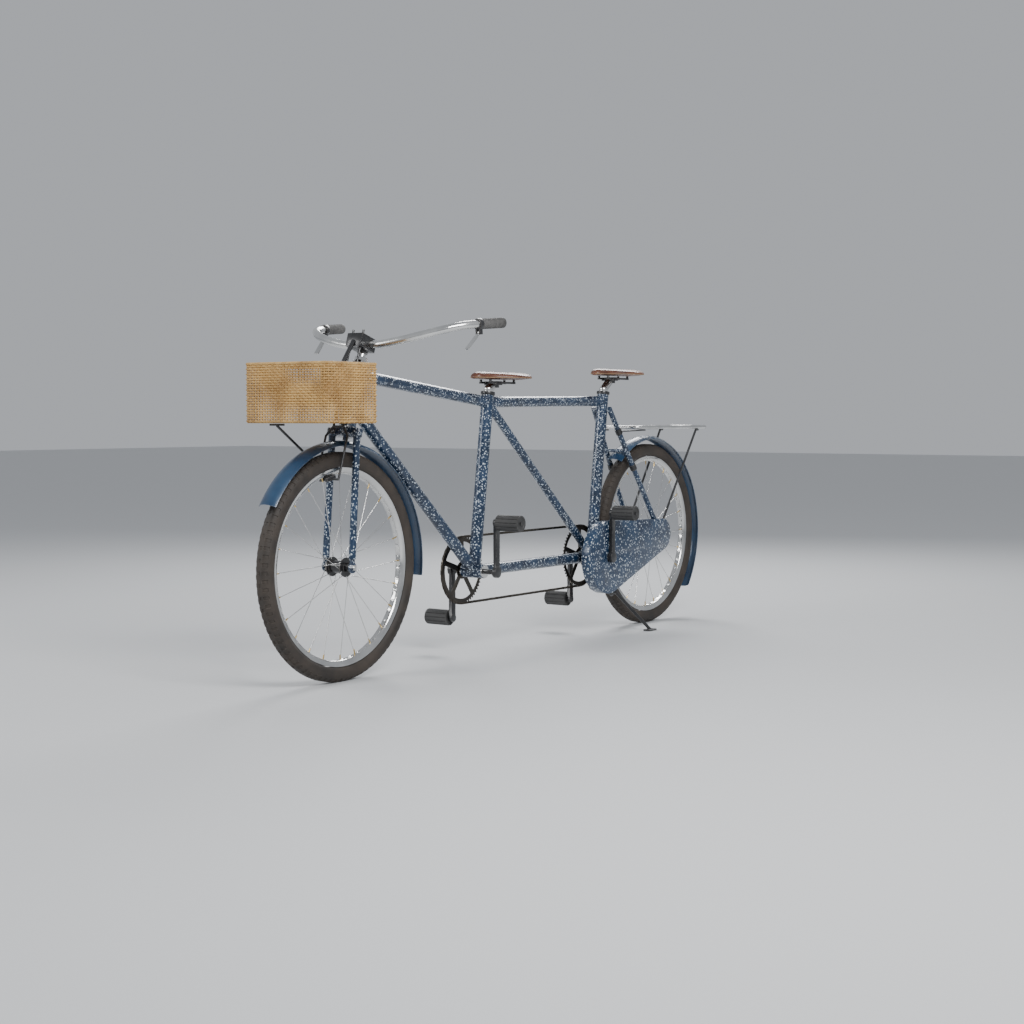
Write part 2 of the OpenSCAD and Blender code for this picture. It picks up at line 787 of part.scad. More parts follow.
module handlebar() {
  color("silver") path(bar_points, bar_d);
}
module grip() {
  len = norm(grip_to - grip_from);
  along(grip_from, grip_to) difference() {
    translate([0, 0, grip_start]) cylinder(h = len - grip_start + 4, d = grip_d);
    cylinder(h = len + gap, d = bar_d + 2 * seat);
  }
}
module handlebar_grips() {
  color("gray") both_sides() grip();
}
// Clamp that joins the stem to the handlebar and guides the two brake rods
module bar_clamp() {
  color("dimgray") difference() {
    steer(head_len + stem_rise) {
      translate([-20, -30, -22]) cube([rod_x + 32, 60, 42]);
      translate([0, 0, -30]) cylinder(h = 20, d = stem_d + 10);
    }
    steer(head_len + stem_rise) {
      translate([0, 0, -31]) cylinder(h = 15 + gap, d = stem_d + 2 * seat);
      for (y = [-rod_y, rod_y]) translate([rod_x, y, -40]) cylinder(h = 80, d = rod_d + 2 * run);
    }
    rod(bar_c - [0, 40, 0], bar_c + [0, 40, 0], bar_d + 2 * seat + 1.6);
  }
}
module lever_bracket() {
  along(grip_from, grip_to) difference() {
    union() {
      translate([0, 0, 4]) cylinder(h = 14, d = bar_d + 9);
      for (y = [-9, 5]) translate([10, y, 4]) cube([lever_x - 4, 4, 14]);
      translate([lever_x, 9, lever_z]) rotate([90, 0, 0]) cylinder(h = 18, d = lever_pin);
    }
    translate([0, 0, 3]) cylinder(h = 16, d = bar_d + 2 * seat);
  }
}
module lever_brackets() {
  color("dimgray") both_sides() lever_bracket();
}
module brake_lever() {
  along(grip_from, grip_to) translate([lever_x, 0, lever_z]) difference() {
    union() {
      rotate([90, 0, 0]) cylinder(h = 9.4, d = 11, center = true);
      rotate([0, 180 - lever_a, 0]) {
        translate([-2, -4.7, 0]) cube([4, 9.4, 20]);
        translate([-2, -8, 16]) cube([4, 16, lever_len - 16]);
      }
    }
    rotate([90, 0, 0]) cylinder(h = 12, d = lever_pin + 2 * run, center = true);
  }
}
module left_brake_lever() {
  color("silver") brake_lever();
}
module right_brake_lever() {
  color("silver") mirror([0, 1, 0]) brake_lever();
}
module brake_stirrup() {
  color("dimgray") difference() {
    union() {
      for (side = [-1, 1]) {
        path([head_loc(rod_x, side * rod_y, head_len + stem_rise + 34),
              head_loc(rod_x, side * rod_y, spread_lz + 30),
              head_loc(rod_x, side * leg_y, spread_lz),
              head_loc(rod_x, side * leg_y, shoe_lz),
              head_loc(rod_x, side * 15, shoe_lz)], rod_d);
        steer() translate([rod_x, side * 11, shoe_lz]) rotate([0, atan2(rod_x - hub_lx, shoe_lz - hub_lz), 0])
          translate([-20, -5, -4]) cube([40, 10, 4 + shoe_h]);
      }
      rod(head_loc(rod_x, -rod_y, spread_lz + 30), head_loc(rod_x, rod_y, spread_lz + 30), rod_d);
    }
    translate(hub_f) rotate([90, 0, 0]) difference() {
      cylinder(h = 60, r = rim_in + 20, center = true, $fn = 128);
      cylinder(h = 62, r = rim_in - shoe_gap, center = true, $fn = 128);
    }
  }
}

// ---- Basket ----
module basket() {
  floor_t = 8;
  color("burlywood") translate(basket_o) difference() {
    linear_extrude(basket_h) polygon(round_rect(basket_l, basket_w, 18));
    translate([basket_t, basket_t, floor_t]) linear_extrude(basket_h)
      polygon(round_rect(basket_l - 2 * basket_t, basket_w - 2 * basket_t, 12));
  }
}
// A hooked plate from the handlebar clamp, and a brace from the right fork blade
module basket_brackets() {
  root = head_loc(rod_x + 12 + gap, 0, head_len + stem_rise - 6);
  plate = [basket_o[0] - gap, 0, basket_o[2] + basket_h - 26];
  t = 0.33;
  clip = (1 - t) * blade_top + t * blade_end;
  clip_r = [clip[0], -clip[1], clip[2]];
  end_r = [blade_end[0], -blade_end[1], blade_end[2]];
  foot = [basket_o[0] + 157, -100, basket_o[2] - gap];
  color("dimgray") {
    difference() {
      union() {
        rod(root, plate + [-6, 0, 0], 14);
        translate(plate + [-5, -60, -70]) cube([5, 120, 90]);
      }
      steer(head_len + stem_rise) translate([-30, -40, -60]) cube([rod_x + 42 + gap, 80, 120]);
      translate(plate + [0, -70, -90]) cube([40, 140, 140]);
    }
    difference() {
      union() {
        rod(clip_r, clip_r + 18 * unit(end_r - clip_r), blade_d + 8);
        rod(clip_r + [14, -6, 0], foot - [0, 0, 6], 8);
        translate(foot - [16, 16, 6]) cube([32, 32, 6]);
      }
      rod(clip_r - 30 * unit(end_r - clip_r), end_r, blade_d - 2 + 2 * seat);
    }
  }
}

// ---- Wheels ----
module tyre(p) {
  w = tyre_w / 2;
  c = wheel_r - sqrt(w * w - pow(tread_w / 2, 2));
  translate(p) rotate([90, 0, 0]) rotate_extrude($fn = 128) difference() {
    translate([c, 0]) circle(r = w);
    translate([c, 0]) circle(r = w - 4);
    translate([wheel_r, -w]) square([w, 2 * w]);
    translate([rim_in - 20, -rim_w / 2 - 0.15]) square([rim_h + 20.15, rim_w + 0.3]);
  }
}
module rim(p) {
  translate(p) rotate([90, 0, 0]) rotate_extrude($fn = 128) difference() {
    translate([rim_in, -rim_w / 2]) square([rim_h, rim_w]);
    translate([rim_in + 3, -rim_w / 2 + 2.5]) square([rim_h, rim_w - 5]);
  }
}
flange_d = 60;
flange_y = 27;
module spoke_set(p) {
  for (i = [0:spokes - 1]) {
    side = i % 2 == 0 ? 1 : -1;
    cross = floor(i / 2) % 2 == 0 ? 1 : -1;
    y0 = flange_y + cross * (1.5 + 1.3 + spoke_d / 2);
    a = 360 * i / spokes;
    b = a + cross * 38;
    rod(p + [26 * cos(b), side * y0, 26 * sin(b)],
        p + [(rim_in - gap) * cos(a), side * 2, (rim_in - gap) * sin(a)], spoke_d);
  }
}
module hub(p, y0, y1, d) {
  difference() {
    union() {
      disc(p, y0, y1, 28);
      disc(p, -flange_y - 1.5, flange_y + 1.5, d);
      for (s = [-1, 1]) disc(p, s * flange_y - 1.5, s * flange_y + 1.5, flange_d);
    }
    disc(p, y0 - 1, y1 + 1, axle_d + 2 * run);
  }
}
module front_tyre() { color("dimgray") tyre(hub_f); }
module front_rim() { color("silver") rim(hub_f); }
module front_spokes() { color("silver") spoke_set(hub_f); }
module front_hub() { color("dimgray") hub(hub_f, -44, 44, 38); }
module rear_tyre() { color("dimgray") tyre(hub_r); }
module rear_rim() { color("silver") rim(hub_r); }
module rear_spokes() { color("silver") spoke_set(hub_r); }
module rear_hub() { color("dimgray") hub(hub_r, -44.5, 40, 48); }

// ---- Toothed rings, cranks and pedals ----
module ring(p, y, n, r) {
  web = r - 16;
  across(p, y - ring_t / 2, y + ring_t / 2) difference() {
    polygon(teeth(n, r));
    difference() {
      circle(r = web);
      circle(r = 30);
      for (i = [0:4]) rotate(90 + 72 * i) translate([0, -9]) square([web + 1, 18]);
    }
  }
}
module ring_hub(p, y0, y1, n, r, y) {
  difference() {
    union() {
      ring(p, y, n, r);
      disc(p, y0, y1, 38);
    }
    disc(p, y0 - 1, y1 + 1, spindle_d + 2 * seat);
  }
}
module front_timing_ring() {
  color("dimgray") ring_hub(bb_front, -timing_y - 5, -bb_half - cup_lip - gap, timing_teeth, timing_r, -timing_y);
}
module rear_timing_ring() {
  color("dimgray") ring_hub(bb_rear, -timing_y - 5, -bb_half - cup_lip - gap, timing_teeth, timing_r, -timing_y);
}
module drive_ring() {
  color("dimgray") ring_hub(bb_rear, bb_half + cup_lip + gap, drive_y + 5, drive_teeth, drive_r, drive_y);
}
module rear_sprocket() {
  color("dimgray") difference() {
    union() {
      across(hub_r, drive_y - ring_t / 2, drive_y + ring_t / 2) polygon(teeth(sprocket_teeth, sprocket_r));
      disc(hub_r, 40 + gap, 56, 34);
    }
    disc(hub_r, 39, 58, axle_d + 2 * run);
  }
}
// A spindle with its two arms and the pedal pins: the left arm points up and the right arm down
module crankset(p) {
  color("dimgray") {
    disc(p, -arm_y - arm_t, arm_y + arm_t, spindle_d);
    for (side = [-1, 1]) {
      eye = p + [0, 0, side * crank_len];
      y0 = side > 0 ? arm_y : -arm_y - arm_t;
      disc(p, y0, y0 + arm_t, 38);
      disc(eye, y0, y0 + arm_t, 27);
      translate([p[0] - 11, y0 + 1, min(p[2], eye[2])]) cube([22, arm_t - 2, crank_len]);
      disc(eye, min(side * arm_y, side * (pedal_y + pedal_len + 3)),
           max(side * arm_y, side * (pedal_y + pedal_len + 3)), pin_d);
    }
  }
}
module front_crankset() crankset(bb_front);
module rear_crankset() crankset(bb_rear);
module pedal(p, side) {
  eye = p + [0, side * pedal_y, side * crank_len];
  color("gray") translate(eye) rotate([-90 * side, 0, 0]) difference() {
    union() {
      translate([0, 0, 3]) cylinder(h = pedal_len - 6, d = pedal_d);
      cylinder(h = 3, d1 = pedal_d - 8, d2 = pedal_d);
      translate([0, 0, pedal_len - 3]) cylinder(h = 3, d1 = pedal_d, d2 = pedal_d - 8);
    }
    translate([0, 0, -1]) cylinder(h = pedal_len + 2, d = pin_d + 2 * run);
  }
}
module front_left_pedal() pedal(bb_front, 1);
module front_right_pedal() pedal(bb_front, -1);
module rear_left_pedal() pedal(bb_rear, 1);
module rear_right_pedal() pedal(bb_rear, -1);

head_tube();
down_tube();
top_tubes();
seat_tubes();
diagonal_tube();
boom_tube();
bb_shells();
bearing_cups();
chain_stays();
seat_stays();
rear_dropouts();
seat_posts();
seat_collars();
front_saddle();
rear_saddle();
saddle_cradles();
rear_fender();
fender_bridge();
rack_platform();
rack_stays();
chain_case();
case_brackets();
rear_axle();
kickstand_bracket();
timing_chain();
drive_chain();
steerer();
fork_crown();
fork_blades();
stem();
handlebar();
handlebar_grips();
bar_clamp();
lever_brackets();
basket();
basket_brackets();
front_fender();
front_axle();
front_tyre();
front_rim();
front_spokes();
front_hub();
rear_tyre();
rear_rim();
rear_spokes();
rear_hub();
rear_sprocket();
front_crankset();
front_timing_ring();
rear_crankset();
rear_timing_ring();
drive_ring();
front_left_pedal();
front_right_pedal();
rear_left_pedal();
rear_right_pedal();
kickstand();
left_brake_lever();
right_brake_lever();
brake_stirrup();
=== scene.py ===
# A tandem bicycle in its studio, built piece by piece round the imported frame.
import json
from math import acos, atan2, cos, degrees, hypot, pi, radians, sin, tau

import bpy
from mathutils import Matrix, Vector

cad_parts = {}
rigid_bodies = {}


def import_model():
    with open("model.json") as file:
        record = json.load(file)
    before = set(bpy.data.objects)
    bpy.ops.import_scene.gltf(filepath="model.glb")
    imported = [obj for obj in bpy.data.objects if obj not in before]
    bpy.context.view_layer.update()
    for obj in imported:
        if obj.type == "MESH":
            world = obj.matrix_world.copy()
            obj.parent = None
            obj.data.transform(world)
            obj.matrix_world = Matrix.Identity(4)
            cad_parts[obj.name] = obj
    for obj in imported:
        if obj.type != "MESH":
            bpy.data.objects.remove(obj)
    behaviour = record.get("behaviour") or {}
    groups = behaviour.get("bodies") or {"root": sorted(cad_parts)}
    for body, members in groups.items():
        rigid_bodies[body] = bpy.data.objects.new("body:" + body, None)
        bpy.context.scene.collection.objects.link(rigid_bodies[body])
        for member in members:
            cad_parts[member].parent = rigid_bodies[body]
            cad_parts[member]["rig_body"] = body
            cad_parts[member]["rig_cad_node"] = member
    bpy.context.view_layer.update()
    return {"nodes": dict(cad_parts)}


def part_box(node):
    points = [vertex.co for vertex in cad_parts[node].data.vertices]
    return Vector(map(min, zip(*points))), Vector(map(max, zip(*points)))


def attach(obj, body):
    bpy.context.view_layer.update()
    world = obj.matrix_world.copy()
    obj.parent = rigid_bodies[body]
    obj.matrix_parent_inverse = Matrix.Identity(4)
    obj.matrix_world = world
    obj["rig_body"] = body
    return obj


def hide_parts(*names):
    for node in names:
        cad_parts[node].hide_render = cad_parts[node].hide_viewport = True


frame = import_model()
nodes = frame["nodes"]
bpy.ops.object.select_all(action="DESELECT")

# ---- Studio ----
# A pale floor, a pale room and three soft lights. The camera stands in front of the
# bicycle on its left side, a little lower than the saddles.
camera_at = Vector((4.8295, 3.3604, 0.8042))
camera_towards = Vector((-0.8188, -0.5714, -0.0560))
camera_lens = 59.41
bpy.ops.object.camera_add(location=camera_at, rotation=camera_towards.to_track_quat("-Z", "Y").to_euler())
camera = bpy.context.object
camera.data.lens = camera_lens
camera.data.sensor_width = 36
bpy.context.scene.camera = camera

bpy.ops.mesh.primitive_plane_add(size=60, location=(0, 0, 0))
floor = bpy.context.object
floor.name = "floor"
floor_paint = bpy.data.materials.new("floor_paint")
floor_paint.use_nodes = True
floor_shader = floor_paint.node_tree.nodes["Principled BSDF"]
floor_shader.inputs["Base Color"].default_value = (0.62, 0.63, 0.64, 1)
floor_shader.inputs["Roughness"].default_value = 0.75
floor.data.materials.append(floor_paint)

room = bpy.data.worlds.new("room")
bpy.context.scene.world = room
room.use_nodes = True
room.node_tree.nodes["Background"].inputs["Color"].default_value = (0.80, 0.83, 0.88, 1)
room.node_tree.nodes["Background"].inputs["Strength"].default_value = 0.55


def softbox(name, place, target, size, power):
    direction = Vector(target) - Vector(place)
    bpy.ops.object.light_add(type="AREA", location=place, rotation=direction.to_track_quat("-Z", "Y").to_euler())
    light = bpy.context.object
    light.name = name
    light.data.shape = "RECTANGLE"
    light.data.size = size
    light.data.size_y = size * 0.6
    light.data.energy = power


softbox("key_light", (2.4, 3.6, 3.4), (0, 0, 0.5), 2.6, 210)
softbox("fill_light", (3.8, -2.6, 2.2), (0, 0, 0.5), 2.4, 70)
softbox("back_light", (-3.2, -1.6, 3.2), (0, 0, 0.6), 2.2, 130)

# ---- Shared effects of the finishes ----
# Wear rubs bright or dark on edges, flecks are pale spots painted into the colour as glints
# off a hammered enamel's small bumps, and grain is the fine unevenness that every real surface has.


def group_of(name, inputs, outputs):
    tree = bpy.data.node_groups.new(name, "ShaderNodeTree")
    for label, kind, value in inputs:
        socket = tree.interface.new_socket(name=label, in_out="INPUT", socket_type=kind)
        socket.default_value = value
    for label, kind in outputs:
        tree.interface.new_socket(name=label, in_out="OUTPUT", socket_type=kind)
    return tree, tree.nodes.new("NodeGroupInput"), tree.nodes.new("NodeGroupOutput")


def add(tree, kind, links=None, **settings):
    node = tree.nodes.new(kind)
    for key, value in settings.items():
        setattr(node, key, value)
    for key, value in (links or {}).items():
        if isinstance(value, bpy.types.NodeSocket):
            tree.links.new(value, node.inputs[key])
        else:
            node.inputs[key].default_value = value
    return node


def ramp(tree, source, low, high):
    node = add(tree, "ShaderNodeMapRange", {"Value": source, "From Min": low, "From Max": high})
    return node.outputs["Result"]


wear, wear_in, wear_out = group_of(
    "edge_wear",
    [("Width", "NodeSocketFloat", 0.0025), ("Amount", "NodeSocketFloat", 0.5)],
    [("Mask", "NodeSocketFloat")])
wear_place = add(wear, "ShaderNodeTexCoord").outputs["Object"]
wear_bevel = add(wear, "ShaderNodeBevel", {"Radius": wear_in.outputs["Width"]}, samples=4)
wear_flat = add(wear, "ShaderNodeNewGeometry").outputs["Normal"]
wear_dot = add(wear, "ShaderNodeVectorMath", {0: wear_bevel.outputs["Normal"], 1: wear_flat}, operation="DOT_PRODUCT")
wear_edge = ramp(wear, wear_dot.outputs["Value"], 0.995, 0.86)
wear_noise = add(wear, "ShaderNodeTexNoise", {"Vector": wear_place, "Scale": 90.0, "Detail": 4.0})
wear_spots = ramp(wear, wear_noise.outputs["Fac"], 0.42, 0.62)
wear_mask = add(wear, "ShaderNodeMath", {0: wear_edge, 1: wear_spots}, operation="MULTIPLY")
wear_sum = add(wear, "ShaderNodeMath", {0: wear_mask.outputs[0], 1: wear_in.outputs["Amount"]}, operation="MULTIPLY")
wear.links.new(wear_sum.outputs[0], wear_out.inputs["Mask"])

# Painted glints: pale spots mixed into the colour where light would catch the enamel's bumps.
painted_glints, painted_glints_in, painted_glints_out = group_of(
    "enamel_painted_glints",
    [("Scale", "NodeSocketFloat", 150.0), ("Cover", "NodeSocketFloat", 0.5)],
    [("Mask", "NodeSocketFloat"), ("Height", "NodeSocketFloat")])
painted_glints_place = add(painted_glints, "ShaderNodeTexCoord").outputs["Object"]
painted_glints_bend = add(painted_glints, "ShaderNodeTexNoise", {"Vector": painted_glints_place, "Scale": 70.0, "Detail": 3.0})
painted_glints_shift = add(painted_glints, "ShaderNodeVectorMath", {0: painted_glints_bend.outputs["Color"], 1: (0.012, 0.012, 0.012),
                                                    2: painted_glints_place}, operation="MULTIPLY_ADD")
painted_glints_cell = add(painted_glints, "ShaderNodeTexVoronoi",
                  {"Vector": painted_glints_shift.outputs["Vector"], "Scale": painted_glints_in.outputs["Scale"]})
bump_and_painted_glint_shape = ramp(painted_glints, painted_glints_cell.outputs["Distance"], 0.46, 0.24)
painted_glints_pick = ramp(painted_glints, painted_glints_cell.outputs["Color"], 0.60, 0.54)
painted_glints_share = add(painted_glints, "ShaderNodeMath", {0: painted_glints_pick, 1: painted_glints_in.outputs["Cover"]}, operation="MULTIPLY")
# The mask of the painted glints; the Height output alone is the bumps' real relief.
painted_glint_mask = add(painted_glints, "ShaderNodeMath", {0: bump_and_painted_glint_shape, 1: painted_glints_share.outputs[0]}, operation="MULTIPLY")
painted_glints.links.new(painted_glint_mask.outputs[0], painted_glints_out.inputs["Mask"])
painted_glints.links.new(bump_and_painted_glint_shape, painted_glints_out.inputs["Height"])

grain, grain_in, grain_out = group_of(
    "fine_grain",
    [("Scale", "NodeSocketFloat", 300.0), ("Low", "NodeSocketFloat", 0.3), ("High", "NodeSocketFloat", 0.5)],
    [("Roughness", "NodeSocketFloat"), ("Height", "NodeSocketFloat"), ("Patches", "NodeSocketFloat")])
grain_place = add(grain, "ShaderNodeTexCoord").outputs["Object"]
grain_fine = add(grain, "ShaderNodeTexNoise",
                 {"Vector": grain_place, "Scale": grain_in.outputs["Scale"], "Detail": 6.0})
grain_wide = add(grain, "ShaderNodeTexNoise", {"Vector": grain_place, "Scale": 14.0, "Detail": 5.0})
grain_rough = add(grain, "ShaderNodeMapRange",
                  {"Value": grain_wide.outputs["Fac"], "From Min": 0.3, "From Max": 0.7,
                   "To Min": grain_in.outputs["Low"], "To Max": grain_in.outputs["High"]})
grain.links.new(grain_rough.outputs["Result"], grain_out.inputs["Roughness"])
grain.links.new(grain_fine.outputs["Fac"], grain_out.inputs["Height"])
grain.links.new(ramp(grain, grain_wide.outputs["Fac"], 0.35, 0.65), grain_out.inputs["Patches"])


def use(tree, group, **values):
    node = add(tree, "ShaderNodeGroup", node_tree=group)
    for key, value in values.items():
        node.inputs[key.capitalize()].default_value = value
    return node


def blend(tree, fac, first, second):
    node = add(tree, "ShaderNodeMix", {0: fac}, data_type="RGBA")
    for key, value in (("A", first), ("B", second)):
        socket = [s for s in node.inputs if s.name == key and s.type == "RGBA"][0]
        if isinstance(value, bpy.types.NodeSocket):
            tree.links.new(value, socket)
        else:
            socket.default_value = (*value, 1)
    return [s for s in node.outputs if s.type == "RGBA"][0]


def finish_of(name, dark, light, worn, metallic, low, high, bump, scale=300.0, edge=0.5, coat=0.0):
    """A finish: two tones in patches, rubbed edges, uneven gloss and a fine grain."""
    material = bpy.data.materials.new(name)
    material.use_nodes = True
    tree = material.node_tree
    shader = tree.nodes["Principled BSDF"]
    surface = use(tree, grain, scale=scale, low=low, high=high)
    edges = use(tree, wear, width=0.0025, amount=edge)
    tone = blend(tree, surface.outputs["Patches"], dark, light)
    tree.links.new(blend(tree, edges.outputs["Mask"], tone, worn), shader.inputs["Base Color"])
    tree.links.new(surface.outputs["Roughness"], shader.inputs["Roughness"])
    relief = add(tree, "ShaderNodeBump", {"Height": surface.outputs["Height"], "Strength": bump, "Distance": 0.0006})
    tree.links.new(relief.outputs["Normal"], shader.inputs["Normal"])
    shader.inputs["Metallic"].default_value = metallic
    shader.inputs["Coat Weight"].default_value = coat
    shader.inputs["Coat Roughness"].default_value = 0.15
    return material


def hammered(name, deep, blue, painted_glint_colour, cover, size):
    """Hammered enamel: a dark blue ground with pale spots of painted glint that stand a little proud."""
    material = finish_of(name, deep, blue, (0.30, 0.33, 0.36), 0.15, 0.22, 0.38, 0.15, edge=0.7, coat=0.6)
    tree = material.node_tree
    shader = tree.nodes["Principled BSDF"]
    ground = shader.inputs["Base Color"].links[0].from_socket
    bumps_and_painted_glints = use(tree, painted_glints, scale=size, cover=cover)
    # Pale painted glints are mixed into the enamel's colour on its bumps.
    tree.links.new(blend(tree, bumps_and_painted_glints.outputs["Mask"], ground, painted_glint_colour), shader.inputs["Base Color"])
    relief = add(tree, "ShaderNodeBump", {"Height": bumps_and_painted_glints.outputs["Height"], "Strength": 0.6, "Distance": 0.0012})
    tree.links.new(relief.outputs["Normal"], shader.inputs["Normal"])
    return material


def dress(names, material):
    for name in names:
        nodes[name].data.materials.clear()
        nodes[name].data.materials.append(material)


# ---- Frame tubes ----
# The frame is brazed from steel tubes and hangs together at the bottom bracket shells and
# the head tube. Its blue hammered enamel carries pale painted glints all over, on small real bumps.
# The pale colour in this enamel is painted glints, spots where light would catch its bumps.
frame_paint = hammered("frame_paint", (0.005, 0.017, 0.043), (0.009, 0.034, 0.084), (0.62, 0.70, 0.78), 0.95, 150.0)
dress(["head_tube", "down_tube", "top_tubes", "seat_tubes", "diagonal_tube", "boom_tube", "bb_shells",
       "chain_stays", "seat_stays", "rear_dropouts", "fender_bridge", "fork_blades"], frame_paint)

# ---- Forged and pressed pieces ----
# Brackets, clamps, cranks and levers come from a forge or a press, so their edges are
# rounded. Each one is its own plain shape with the edges eased.
chrome = finish_of("chrome", (0.60, 0.60, 0.59), (0.74, 0.74, 0.73), (0.36, 0.30, 0.24), 1.0, 0.07, 0.22, 0.03)
black_enamel = finish_of("black_enamel", (0.010, 0.010, 0.011), (0.022, 0.022, 0.024), (0.28, 0.26, 0.24),
                         0.1, 0.25, 0.45, 0.08, edge=0.9, coat=0.4)
dark_steel = finish_of("dark_steel", (0.045, 0.040, 0.036), (0.085, 0.076, 0.066), (0.34, 0.31, 0.28),
                       0.9, 0.28, 0.5, 0.1, edge=0.8)


def eased(node, body, material, edge):
    """The forging named node, with its edges rounded."""
    bpy.ops.object.select_all(action="DESELECT")
    piece = nodes[node].copy()
    piece.data = nodes[node].data.copy()
    bpy.context.collection.objects.link(piece)
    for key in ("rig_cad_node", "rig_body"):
        del piece[key]
    piece.parent = None
    piece.name = node + "_finished"
    piece.data.materials.clear()
    piece.data.materials.append(material)
    bpy.context.view_layer.objects.active = piece
    piece.select_set(True)
    bpy.ops.mesh.customdata_custom_splitnormals_clear()
    bpy.ops.object.mode_set(mode="EDIT")
    bpy.ops.mesh.select_all(action="SELECT")
    bpy.ops.mesh.remove_doubles(threshold=0.00002)
    bpy.ops.mesh.dissolve_limited(angle_limit=radians(1.5))
    bpy.ops.object.mode_set(mode="OBJECT")
    bevel = piece.modifiers.new("bevel", "BEVEL")
    bevel.width = edge
    bevel.segments = 2
    bevel.limit_method = "ANGLE"
    bevel.angle_limit = radians(35)
    bpy.ops.object.modifier_apply(modifier="bevel")
    bpy.ops.object.shade_smooth_by_angle(angle=radians(38))
    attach(piece, body)
    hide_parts(node)


for node, body, edge in (("seat_collars", "frame", 0.0012), ("saddle_cradles", "frame", 0.0012),
                         ("kickstand_bracket", "frame", 0.0015), ("kickstand", "side_stand", 0.0015),
                         ("bar_clamp", "fork", 0.004), ("lever_brackets", "fork", 0.0008),
                         ("basket_brackets", "fork", 0.001), ("front_crankset", "front_cranks", 0.0035),
                         ("rear_crankset", "rear_cranks", 0.0035), ("case_brackets", "frame", 0.0008)):
    eased(node, body, black_enamel, edge)
for node, body in (("left_brake_lever", "left_lever"), ("right_brake_lever", "right_lever")):
    eased(node, body, chrome, 0.0011)
eased("fork_crown", "fork", frame_paint, 0.003)
# The chain case's enamel carries the same painted glints, paler, a little larger and denser.
case_paint = hammered("case_paint", (0.006, 0.022, 0.056), (0.011, 0.043, 0.102), (0.70, 0.77, 0.84), 1.0, 125.0)
eased("chain_case", "frame", case_paint, 0.0006)

# ---- Axles, posts, spokes and toothed rings ----
# These are drawn, turned or cut from plain stock, so they keep their plain shapes. Most
# are plated, the hubs and the rack's legs are black, and the toothed rings are bare steel.
dress(["bearing_cups", "seat_posts", "steerer", "stem", "rear_axle", "front_axle", "front_spokes", "rear_spokes"],
      chrome)
dress(["rack_stays", "brake_stirrup", "front_hub", "rear_hub"], black_enamel)
dress(["rear_sprocket", "front_timing_ring", "rear_timing_ring", "drive_ring"], dark_steel)

# ---- Rims ----
# Each rim is a rolled steel channel, turned here from one profile and plated, with a row
# of dimples stamped round it. Brass nipples on its inner face hold the spokes.
rim_depth = 0.019
rim_steps = 144
spoke_count = 24
dimple_depth = 0.0016
nipple_length = 0.015


def turned(name, profile, centre, steps, material, start=0.0, sweep=tau):
    """A closed profile of (radius, Y) points, turned about the axle at centre."""
    bpy.ops.object.select_all(action="DESELECT")
    bpy.ops.mesh.primitive_circle_add(vertices=len(profile), radius=0.01, location=(0, 0, 0))
    piece = bpy.context.object
    piece.name = name
    for vertex, (radius, y) in zip(piece.data.vertices, profile):
        vertex.co = centre + Vector((radius * cos(start), y, radius * sin(start)))
    bpy.ops.object.mode_set(mode="EDIT")
    bpy.ops.mesh.select_all(action="SELECT")
    if sweep < tau:
        bpy.ops.mesh.edge_face_add()
    bpy.ops.mesh.spin(steps=steps, angle=sweep, center=centre, axis=(0, 1, 0), use_auto_merge=False)
    bpy.ops.mesh.select_all(action="SELECT")
    bpy.ops.mesh.remove_doubles(threshold=0.00001)
    bpy.ops.mesh.normals_make_consistent(inside=False)
    bpy.ops.object.mode_set(mode="OBJECT")
    piece.data.materials.append(material)
    bpy.ops.object.shade_smooth_by_angle(angle=radians(40))
    return piece


def pick_faces(piece, chosen):
    """Opens the piece in edit mode with only the chosen faces selected."""
    bpy.context.view_layer.objects.active = piece
    bpy.ops.object.mode_set(mode="EDIT")
    bpy.ops.mesh.select_mode(type="FACE")
    bpy.ops.mesh.select_all(action="DESELECT")
    bpy.ops.object.mode_set(mode="OBJECT")
    for face in piece.data.polygons:
        face.select = bool(chosen(face))
    bpy.ops.object.mode_set(mode="EDIT")


